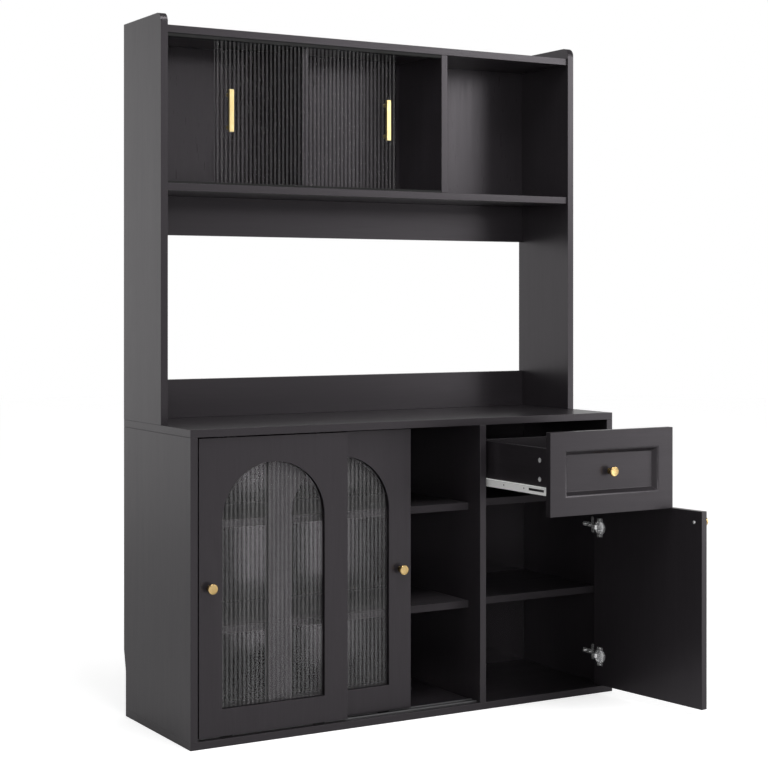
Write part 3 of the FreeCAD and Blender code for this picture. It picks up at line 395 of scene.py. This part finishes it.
def solid_boxes(node, turn=IN_PLACE):
    """The box of each separate solid in a node, with the node turned back by a matrix first."""
    mesh = copied(node)
    mesh.transform(turn.inverted())
    boxes = []
    left = set(mesh.verts)
    while left:
        island = [left.pop()]
        for vert in island:
            for edge in vert.link_edges:
                other = edge.other_vert(vert)
                if other in left:
                    left.remove(other)
                    island.append(other)
        boxes.append(limits(island))
    mesh.free()
    return sorted(boxes, key=lambda pair: tuple(pair[0]))


def lathe(mesh, profile, placing, steps):
    """Turn a profile of (radius, height) points about its own axis and put it in place."""
    turns = [2 * math.pi * k / steps for k in range(steps)]
    rings = []
    for radius, height in profile:
        if radius == 0:
            spots = [(0, 0, height)]
        else:
            spots = [(radius * math.cos(a), radius * math.sin(a), height) for a in turns]
        rings.append([mesh.verts.new(placing @ Vector(spot)) for spot in spots])
    for low, high in zip(rings, rings[1:]):
        for k in range(steps):
            follow = (k + 1) % steps
            corners = [low[k % len(low)], low[follow % len(low)],
                       high[follow % len(high)], high[k % len(high)]]
            mesh.faces.new(list(dict.fromkeys(corners)))


def quarter(centre, radius, start, steps):
    """Points of a quarter turn in a profile, from a start angle in degrees."""
    angles = [math.radians(start + 90 * k / steps) for k in range(steps + 1)]
    return [(centre[0] + radius * math.cos(a), centre[1] + radius * math.sin(a)) for a in angles]


def facing(point, direction):
    """A placing whose own height runs along a direction from a point."""
    return Matrix.Translation(point) @ Vector(direction).to_track_quat("Z", "Y").to_matrix().to_4x4()


def standing(mesh, outline, low, high):
    """A solid with a level outline of (x, y) points, standing between two heights."""
    bottom = mesh.faces.new([mesh.verts.new((x, y, low)) for x, y in outline])
    raised = bmesh.ops.extrude_face_region(mesh, geom=[bottom])
    tops = [item for item in raised["geom"] if isinstance(item, bmesh.types.BMVert)]
    bmesh.ops.translate(mesh, vec=(0, 0, high - low), verts=tops)


# Boards and sheets

# The boards by the direction of their grain
BOARDS = {
    X: ["base_bottom_board", "countertop", "base_shelf_left_upper", "base_shelf_left_lower",
        "base_shelf_right", "under_drawer_board", "hutch_top_board", "hutch_shelf", "hutch_apron_rail",
        "hutch_backsplash_rail", "drawer_back", "drawer_bottom"],
    Y: ["drawer_side_left", "drawer_side_right"],
    Z: ["base_side_left", "base_side_right", "base_divider", "hutch_side_left", "hutch_side_right",
        "hutch_divider", "hutch_inner_divider", "sliding_door_left_frame", "sliding_door_right_frame"],
}
# Inner shelves that take the lighter board colours of painted light
INNER = ("base_shelf_left_upper", "base_shelf_left_lower", "base_shelf_right", "under_drawer_board")
BOARD_EDGE = 0.9 * MM
SHEET_EDGE = 0.4 * MM
LONG_EDGE = 3.5 * MM
# Strip left open along the outer edge of a frame
CLOSING_GAP = {"sliding_door_left_frame": 3.5 * MM}
SAME_PLACE = 0.1 * MM


def board_piece(name, axis):
    """A board with eased edges."""
    mesh = copied(name)
    outer = limits(mesh.verts)[0].x
    for vert in mesh.verts:
        if vert.co.x - outer < SAME_PLACE:
            vert.co.x += CLOSING_GAP.get(name, 0.0)
    round_edges(mesh, BOARD_EDGE, steps=3, shortest=LONG_EDGE)
    material = PAINTED_LIT_BOARD if name in INNER else BOARD[axis]
    shown(name + "_board", mesh, material, name)


def sheet_piece(name, material):
    """A thin back sheet."""
    mesh = copied(name)
    round_edges(mesh, SHEET_EDGE, shortest=LONG_EDGE)
    shown(name + "_sheet", mesh, material, name)


for axis, names in BOARDS.items():
    for name in names:
        board_piece(name, axis)
sheet_piece("base_back_panel", PAINTED_LIT_SHEET)
sheet_piece("hutch_back_panel", SHEET)


# Drawer front and door

RECESS_ROUND = 3.5 * MM
RECESS_SIDE = 50 * MM
ON_FACE = 0.01 * MM


def recessed_piece(name, axis, turn):
    """A front with a soft round along its recess and small ones elsewhere."""
    mesh = copied(name)
    mesh.transform(turn.inverted())
    low, high = limits(mesh.verts)

    def on_recess_rim(edge):
        inside = all(low[k] + LONG_EDGE < vert.co[k] < high[k] - LONG_EDGE
                     for vert in edge.verts for k in (X, Z))
        return inside and all(vert.co.y - low.y < ON_FACE for vert in edge.verts)

    def elsewhere(edge):
        return not any(face[mark] for face in edge.link_faces)

    round_edges(mesh, RECESS_ROUND, steps=5, shortest=RECESS_SIDE, wanted=on_recess_rim)
    mark = mesh.faces.layers.float.get("edge")
    round_edges(mesh, BOARD_EDGE, steps=3, shortest=LONG_EDGE, wanted=elsewhere)
    mesh.transform(turn)
    shown(name + "_board", mesh, BOARD[axis], name)


recessed_piece("drawer_front", X, IN_PLACE)
recessed_piece("door_panel", Z, DOOR_TURN)


# Fluted panes

RIB_PITCH = 11 * MM
RIB_WIDTH = 10.6 * MM
RIB_HEIGHT = 0.7 * MM
RIB_STEPS = 12
SIDEWAYS = 0.9


def fluted_pane(name, material):
    """A flat sheet with upright round ribs on its front and ground ends."""
    low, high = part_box(name)
    width = high.x - low.x
    count = int((width - RIB_WIDTH) / RIB_PITCH) + 1
    first = low.x + (width - RIB_WIDTH - RIB_PITCH * (count - 1)) / 2
    root = low.y + RIB_HEIGHT
    radius = (RIB_WIDTH ** 2 / 4 + RIB_HEIGHT ** 2) / (2 * RIB_HEIGHT)
    lean = math.asin(RIB_WIDTH / 2 / radius)
    outline = [(low.x, root)]
    for rib in range(count):
        middle = first + rib * RIB_PITCH + RIB_WIDTH / 2
        for step in range(RIB_STEPS + 1):
            angle = lean * (2 * step / RIB_STEPS - 1)
            outline.append((middle + radius * math.sin(angle), low.y + radius - radius * math.cos(angle)))
    outline += [(high.x, root), (high.x, high.y), (low.x, high.y)]
    mesh = bmesh.new()
    standing(mesh, outline, low.z, high.z)
    mesh.normal_update()
    crest = mesh.faces.layers.float.new("rib")
    ground = mesh.faces.layers.float.new("ground")
    for face in mesh.faces:
        face[ground] = 1.0 if abs(face.normal.x) > SIDEWAYS else 0.0
        place = face.calc_center_median()
        across = (place.x - first) / RIB_PITCH % 1.0 * RIB_PITCH / RIB_WIDTH
        on_rib = place.y < root and 0.0 < across < 1.0
        face[crest] = 1.0 - abs(2.0 * across - 1.0) if on_rib else RIB_CLEAR
    shown(name + "_pane", mesh, material, name, sharp_angle=15.0)


for side in ("left", "right"):
    fluted_pane("sliding_door_%s_glass" % side, BASE_GLASS)
    fluted_pane("hutch_glass_" + side, HUTCH_GLASS)


# Knobs

FOOT_RADIUS = 7.5 * MM
FOOT_EASE = 0.4 * MM
FOOT_SIDE = 1.4 * MM
FOOT_CHAMFER = 0.5 * MM
NECK_RADIUS = 4.6 * MM
NECK_START = 2 * MM
NECK_FILLET = 1.2 * MM
HEAD_THICK = 6.5 * MM
HEAD_EASE = 1 * MM
HEAD_RIM = 2 * MM
FACE_BEVEL = 0.6 * MM
FACE_SINK = 0.3 * MM
# Depth from the knob's face below which it takes painted shade
BRIGHT_HEAD = 6 * MM
KNOB_STEPS = 72


def knob_profile(length, radius):
    """Foot, straight neck and a thick flat disc with a round rim, from the foot up."""
    under = length - HEAD_THICK
    ease = radius - HEAD_EASE
    rim = radius - HEAD_RIM
    face = length - FACE_SINK
    profile = [(0, 0), (FOOT_RADIUS - FOOT_EASE, 0), (FOOT_RADIUS, FOOT_EASE), (FOOT_RADIUS, FOOT_SIDE),
               (FOOT_RADIUS - FOOT_CHAMFER, FOOT_SIDE + FOOT_CHAMFER)]
    fillet_centre = (NECK_RADIUS + NECK_FILLET, NECK_START + NECK_FILLET)
    profile += quarter(fillet_centre, NECK_FILLET, 180, steps=6)[::-1]
    profile += [(NECK_RADIUS, under), (ease, under)]
    profile += quarter((ease, under + HEAD_EASE), HEAD_EASE, -90, steps=6)[1:]
    profile += quarter((rim, length - HEAD_RIM), HEAD_RIM, 0, steps=8)
    profile += [(rim - FACE_BEVEL, face), (0, face)]
    return profile


def turned_knob(name, turn):
    """A brass knob, with painted shade on everything below its head's face."""
    low, high = solid_boxes(name, turn)[0]
    length = high.y - low.y
    seat = Vector(((low.x + high.x) / 2, high.y, (low.z + high.z) / 2))
    placing = turn @ facing(seat, (0, -1, 0))
    mesh = bmesh.new()
    lathe(mesh, knob_profile(length, (high.x - low.x) / 2), placing, KNOB_STEPS)
    # Painted shade on the foot, the neck and the back of the head
    neck = mesh.faces.layers.float.new("neck")
    for face in mesh.faces:
        height = (placing.inverted() @ face.calc_center_median()).z
        face[neck] = 1.0 if height < length - BRIGHT_HEAD else 0.0
    shown(name + "_turned", mesh, BRASS, name, sharp_angle=32.0)


for name in ("sliding_door_left_knob", "sliding_door_right_knob", "drawer_knob"):
    turned_knob(name, IN_PLACE)
turned_knob("door_knob", DOOR_TURN)


# Bar handles

BAR_DEPTH = 8 * MM
BAR_EDGE = 1.0 * MM
POST_RADIUS = 4 * MM
POST_INSET = 12 * MM
POST_STEPS = 40
FLARE_WIDTH = 0.8 * MM
FLARE_START = 2 * MM
FLARE_RIM = 0.6 * MM
# Share of painted shade on the bar's sides and posts
SIDE_PAINTED_SHADE = 0.5


def bar_handle(name):
    """A square bar on two flared posts, with painted shade on its sides and posts."""
    low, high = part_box(name)
    bar_back = low.y + BAR_DEPTH
    reach = high.y - bar_back
    size = Vector((high.x - low.x, BAR_DEPTH, high.z - low.z))
    centre = Vector(((low.x + high.x) / 2, low.y + BAR_DEPTH / 2, (low.z + high.z) / 2))
    mesh = bmesh.new()
    bmesh.ops.create_cube(mesh, size=1.0, matrix=Matrix.Translation(centre) @ Matrix.Diagonal((*size, 1.0)))
    round_edges(mesh, BAR_EDGE, steps=4)
    foot = POST_RADIUS + FLARE_WIDTH
    post = [(0, 0), (POST_RADIUS, 0), (POST_RADIUS, reach - FLARE_START), (foot, reach - FLARE_RIM),
            (foot, reach), (0, reach)]
    for height in (low.z + POST_INSET, high.z - POST_INSET):
        lathe(mesh, post, facing((centre.x, bar_back, height), (0, 1, 0)), POST_STEPS)
    mesh.normal_update()
    # Painted shade on the bar's sides and on the posts
    neck = mesh.faces.layers.float.new("neck")
    for face in mesh.faces:
        shaded = abs(face.normal.x) > 0.5 or face.calc_center_median().y > bar_back
        face[neck] = SIDE_PAINTED_SHADE if shaded else 0.0
    shown(name + "_bar", mesh, BRUSHED_BRASS, name)


bar_handle("hutch_handle_left")
bar_handle("hutch_handle_right")


# Screws with a cross recess

SCREW_STEPS = 48


def cross_screw(mesh, placing, length, head_radius, head_height, shank_radius):
    """A screw along its own height: point at zero, a low domed head with a cross recess at the end."""
    crown = length - 0.25 * head_height
    start = length - head_height
    profile = [(0, 0), (shank_radius * 0.3, 0.4 * shank_radius), (shank_radius, 2 * shank_radius),
               (shank_radius, start), (head_radius, start), (head_radius, start + 0.4 * head_height),
               (head_radius * 0.93, start + 0.6 * head_height), (head_radius * 0.8, crown)]
    lathe(mesh, profile, placing, SCREW_STEPS)
    mesh.verts.ensure_lookup_table()
    rim = list(mesh.verts)[-SCREW_STEPS:]
    arm, half, sink = head_radius * 0.58, head_radius * 0.15, head_height * 0.55
    plus = [(half, half), (half, arm), (-half, arm), (-half, half), (-arm, half), (-arm, -half),
            (-half, -half), (-half, -arm), (half, -arm), (half, -half), (arm, -half), (arm, half)]
    top = [mesh.verts.new(placing @ Vector((x, y, length))) for x, y in plus]
    deep = [mesh.verts.new(placing @ Vector((0.8 * x, 0.8 * y, length - sink))) for x, y in plus]
    edges = []
    for ring in (rim, top):
        for k, vert in enumerate(ring):
            pair = (vert, ring[(k + 1) % len(ring)])
            edges.append(mesh.edges.get(pair) or mesh.edges.new(pair))
    bmesh.ops.triangle_fill(mesh, edges=edges, use_beauty=True)
    for k in range(len(plus)):
        follow = (k + 1) % len(plus)
        mesh.faces.new((top[k], top[follow], deep[follow], deep[k]))
    mesh.faces.new(deep)


def screw_piece(name, turn, axis, way, head_height, shank_radius):
    """The screws of a node, along an axis and one way on it."""
    mesh = bmesh.new()
    for low, high in solid_boxes(name, turn):
        point = (low + high) / 2
        point[axis] = low[axis] if way > 0 else high[axis]
        direction = Vector((0, 0, 0))
        direction[axis] = way
        cross_screw(mesh, turn @ facing(point, direction), high[axis] - low[axis], (high.z - low.z) / 2,
                    head_height, shank_radius)
    shown(name + "_cross", mesh, ZINC, name, sharp_angle=30.0)


LOW_HEAD = 1.4 * MM
KNOB_HEAD, KNOB_SHANK = 2.2 * MM, 1.9 * MM
screw_piece("hinge_plate_screws", IN_PLACE, X, -1, LOW_HEAD, 1.75 * MM)
screw_piece("hinge_cup_screws", DOOR_TURN, Y, 1, LOW_HEAD, 1.5 * MM)
for name in ("sliding_door_left_knob_screw", "sliding_door_right_knob_screw", "drawer_knob_screw"):
    screw_piece(name, IN_PLACE, Y, 1, KNOB_HEAD, KNOB_SHANK)
screw_piece("door_knob_screw", DOOR_TURN, Y, 1, KNOB_HEAD, KNOB_SHANK)


# Concealed hinges: a bent arm with two adjusting screws on a winged plate

ARM_THICK = 3 * MM
ARM_HALF = 6 * MM
ARM_RISE = 19 * MM
ARM_BEND = 8 * MM
ARM_EDGE = 0.7 * MM
BEND_STEPS = 6
PIN_RADIUS = 1.4 * MM
PIN_HALF = 12 * MM
PIN_STEPS = 24
# Distance from the arm's rear end and radius of each adjusting screw
ADJUSTERS = ((10 * MM, 3.6 * MM), (34 * MM, 3.2 * MM))
ADJUSTER_LENGTH = 1.8 * MM
WING_ROUND = 5 * MM
WING_EDGE = 0.4 * MM


def bent(points, radius):
    """A line through the points with its corners rounded."""
    points = [Vector(point) for point in points]
    line = [points[0]]
    for before, corner, after in zip(points, points[1:], points[2:]):
        reach = min(radius, (before - corner).length * 0.45, (after - corner).length * 0.45)
        start = corner + (before - corner).normalized() * reach
        end = corner + (after - corner).normalized() * reach
        for k in range(BEND_STEPS + 1):
            t = k / BEND_STEPS
            line.append(start * (1 - t) ** 2 + corner * 2 * t * (1 - t) + end * t ** 2)
    return line + [points[-1]]


def swept_strip(mesh, line, thick, low, high):
    """A flat strip of even thickness along a level line, standing between two heights."""
    sides = ([], [])
    for k, point in enumerate(line):
        along = (line[min(k + 1, len(line) - 1)] - line[max(k - 1, 0)]).normalized()
        across = Vector((-along.y, along.x)) * thick / 2
        sides[0].append(point + across)
        sides[1].append(point - across)
    standing(mesh, sides[0] + sides[1][::-1], low, high)


def hinge_arms():
    """Both arms, each from its plate around to the hinge pin."""
    mesh = bmesh.new()
    boxes = solid_boxes("hinge_arms")
    for low, high in boxes:
        height = (low.z + high.z) / 2
        back_x = high.x - ARM_THICK / 2
        nose_x = low.x + ARM_THICK / 2
        rise_y = DOOR_PIN.y + ARM_RISE
        line = bent([(back_x, high.y), (back_x, rise_y), (nose_x, rise_y), (nose_x, DOOR_PIN.y),
                     (DOOR_PIN.x, DOOR_PIN.y)], ARM_BEND)
        swept_strip(mesh, line, ARM_THICK, height - ARM_HALF, height + ARM_HALF)
    round_edges(mesh, ARM_EDGE, steps=3)
    pin = [(0, 0), (PIN_RADIUS, 0), (PIN_RADIUS, 2 * PIN_HALF), (0, 2 * PIN_HALF)]
    for low, high in boxes:
        height = (low.z + high.z) / 2
        lathe(mesh, pin, Matrix.Translation((DOOR_PIN.x, DOOR_PIN.y, height - PIN_HALF)), PIN_STEPS)
        for setback, radius in ADJUSTERS:
            seat = Vector((high.x - ARM_THICK, high.y - setback, height))
            cross_screw(mesh, facing(seat, (-1, 0, 0)), ADJUSTER_LENGTH, radius, LOW_HEAD, radius * 0.6)
    shown("hinge_arms_bent", mesh, CHROME, "hinge_arms")


def hinge_plates():
    """Both plates, with the corners of their wings rounded."""
    def on_wing_corner(edge):
        through = abs(edge.verts[0].co.x - edge.verts[1].co.x) > 1.5 * MM and edge.calc_length() < 2.5 * MM
        return through and edge.calc_face_angle() > math.radians(80)

    mesh = copied("hinge_plates")
    round_edges(mesh, WING_ROUND, steps=5, wanted=on_wing_corner)
    round_edges(mesh, WING_EDGE)
    shown("hinge_plates_winged", mesh, CHROME, "hinge_plates")


hinge_arms()
hinge_plates()


# Metal and plastic fittings with eased edges

# Material, slot and width of the rounding
FITTINGS = {
    "hinge_cups": (CHROME, "chrome", 0.35 * MM),
    "drawer_cams": (ZINC, "zinc_steel", 0.25 * MM),
    "shelf_pins": (ZINC, "zinc_steel", 0.3 * MM),
    "slide_rollers_front": (ZINC, "zinc_steel", 0.4 * MM),
    "slide_rollers_rear": (ZINC, "zinc_steel", 0.4 * MM),
    "slide_drawer_left": (WHITE, "white_steel", 0.25 * MM),
    "slide_drawer_right": (WHITE, "white_steel", 0.25 * MM),
    "slide_cabinet_channels": (WHITE, "white_steel", 0.25 * MM),
    "hutch_track_lower": (PLASTIC, "black_plastic", 0.3 * MM),
    "hutch_track_upper": (PLASTIC, "black_plastic", 0.3 * MM),
    "base_track_rails": (ALUMINIUM, "rail_aluminium", 0.3 * MM),
    "sliding_door_left_glides": (PLASTIC, "black_plastic", 0.4 * MM),
    "sliding_door_right_glides": (PLASTIC, "black_plastic", 0.4 * MM),
    "sliding_door_left_guides": (PLASTIC, "black_plastic", 0.5 * MM),
    "sliding_door_right_guides": (PLASTIC, "black_plastic", 0.5 * MM),
}
for name, (material, slot, width) in FITTINGS.items():
    mesh = copied(name)
    round_edges(mesh, width)
    shown(name + "_fitting", mesh, material, name)


# Floor, backdrop light and softboxes

FLOOR_RADIUS = 14.0
FLOOR_COLOUR = (0.68, 0.68, 0.68, 1.0)
FLOOR_ROUGHNESS = 0.9
# Light added to the floor as the camera sees it, and as the far floor shows in the boards
FLOOR_TO_CAMERA = 0.62
FLOOR_TO_GLOSS = 0.4
FLOOR_NEAR, FLOOR_FAR = 2.8, 6.0
WHITE_LIGHT = (1.0, 1.0, 1.0, 1.0)
FILL_LEVEL = 0.55
STUDIO_LEVEL = 0.25
BACKDROP_LEVEL = 1.03


def stage_floor():
    """A wide pale floor that reads as white, with a faint shadow of the object."""
    mesh = bmesh.new()
    bmesh.ops.create_circle(mesh, cap_ends=True, radius=FLOOR_RADIUS, segments=96)
    data = bpy.data.meshes.new("floor")
    mesh.to_mesh(data)
    mesh.free()
    floor = bpy.data.objects.new("floor", data)
    bpy.context.scene.collection.objects.link(floor)
    material, tree, shader = new_material("pale_floor")
    shader.inputs["Base Color"].default_value = FLOOR_COLOUR
    shader.inputs["Roughness"].default_value = FLOOR_ROUGHNESS
    path = tree.nodes.new("ShaderNodeLightPath")
    place = tree.nodes.new("ShaderNodeTexCoord")
    away = tree.nodes.new("ShaderNodeVectorMath")
    away.operation = "LENGTH"
    tree.links.new(place.outputs["Object"], away.inputs[0])
    far = remap(tree, away.outputs["Value"], FLOOR_NEAR, FLOOR_FAR, 0.0, FLOOR_TO_GLOSS)
    mirrored = combine(tree, "MAXIMUM", path.outputs["Is Glossy Ray"], path.outputs["Is Transmission Ray"])
    to_gloss = combine(tree, "MULTIPLY", mirrored, far)
    to_camera = combine(tree, "MULTIPLY", path.outputs["Is Camera Ray"], FLOOR_TO_CAMERA)
    white = tree.nodes.new("ShaderNodeEmission")
    tree.links.new(combine(tree, "MAXIMUM", to_camera, to_gloss), white.inputs["Strength"])
    lifted = tree.nodes.new("ShaderNodeAddShader")
    tree.links.new(shader.outputs["BSDF"], lifted.inputs[0])
    tree.links.new(white.outputs["Emission"], lifted.inputs[1])
    to_output(tree, lifted.outputs["Shader"])
    data.materials.append(material)


def background(tree, strength):
    """A white background, with its strength a number or a socket."""
    node = tree.nodes.new("ShaderNodeBackground")
    node.inputs["Color"].default_value = WHITE_LIGHT
    if isinstance(strength, float):
        node.inputs["Strength"].default_value = strength
    else:
        tree.links.new(strength, node.inputs["Strength"])
    return node.outputs["Background"]


def either(tree, choice, otherwise, chosen):
    """One of two shaders, by a light path output."""
    node = tree.nodes.new("ShaderNodeMixShader")
    for socket, value in zip(node.inputs, (choice, otherwise, chosen)):
        tree.links.new(value, socket)
    return node.outputs["Shader"]


def stage_world():
    """White to the camera; to the object a white backdrop behind and a dim studio in front."""
    world = bpy.data.worlds.new("studio")
    bpy.context.scene.world = world
    world.use_nodes = True
    tree = world.node_tree
    tree.nodes.clear()
    path = tree.nodes.new("ShaderNodeLightPath")
    place = tree.nodes.new("ShaderNodeTexCoord")
    parts = tree.nodes.new("ShaderNodeSeparateXYZ")
    tree.links.new(place.outputs["Generated"], parts.inputs["Vector"])
    behind = remap(tree, parts.outputs["Y"], 0.0, 0.5, 0.0, 1.0)
    low = remap(tree, parts.outputs["Z"], 0.14, 0.32, 1.0, 0.0)
    backdrop = combine(tree, "MULTIPLY", behind, low)
    level = remap(tree, backdrop, 0.0, 1.0, STUDIO_LEVEL, BACKDROP_LEVEL)
    lit = either(tree, path.outputs["Is Diffuse Ray"], background(tree, level), background(tree, FILL_LEVEL))
    seen = either(tree, path.outputs["Is Camera Ray"], lit, background(tree, 1.0))
    output = tree.nodes.new("ShaderNodeOutputWorld")
    tree.links.new(seen, output.inputs["Surface"])


def softbox(name, place, target, width, height, radiance):
    """A rectangular softbox aimed at a point, with its brightness given as radiance."""
    light = bpy.data.lights.new(name, "AREA")
    light.shape = "RECTANGLE"
    light.size = width
    light.size_y = height
    light.energy = radiance * math.pi * width * height
    lamp = bpy.data.objects.new(name, light)
    lamp.location = place
    lamp.rotation_euler = (Vector(target) - Vector(place)).to_track_quat("-Z", "Y").to_euler()
    bpy.context.scene.collection.objects.link(lamp)


stage_floor()
stage_world()
softbox("key_softbox", (3.5, -3.1, 2.45), (0.1, 0, 1.2), width=2.9, height=1.7, radiance=4.8)
softbox("upper_softbox", (1.95, -4.5, 2.15), (-0.1, 0, 1.5), width=1.2, height=0.55, radiance=2.5)
softbox("low_softbox", (3.6, -3.1, 0.5), (0.2, 0, 0.5), width=1.9, height=0.9, radiance=2.4)
softbox("top_softbox", (-0.2, -1.7, 3.7), (0, 0, 0.5), width=1.6, height=1.6, radiance=9.0)
softbox("camera_softbox", (-2.7, -4.6, 1.5), (0.1, 0, 0.7), width=1.2, height=1.2, radiance=9.0)


# Camera, level and fitted to the photo's edges

CAMERA_PLACE = (-2.21926, -3.82237, 1.02593)
CAMERA_HEADING = -0.531
camera_data = bpy.data.cameras.new("camera")
camera_data.lens = 81.64
camera_data.sensor_width = 36.0
camera_data.shift_y = -0.1114
camera = bpy.data.objects.new("camera", camera_data)
camera.location = CAMERA_PLACE
camera.rotation_euler = (math.radians(90), 0, CAMERA_HEADING)
bpy.context.scene.collection.objects.link(camera)
bpy.context.scene.camera = camera
bpy.context.scene.view_settings.view_transform = "Standard"
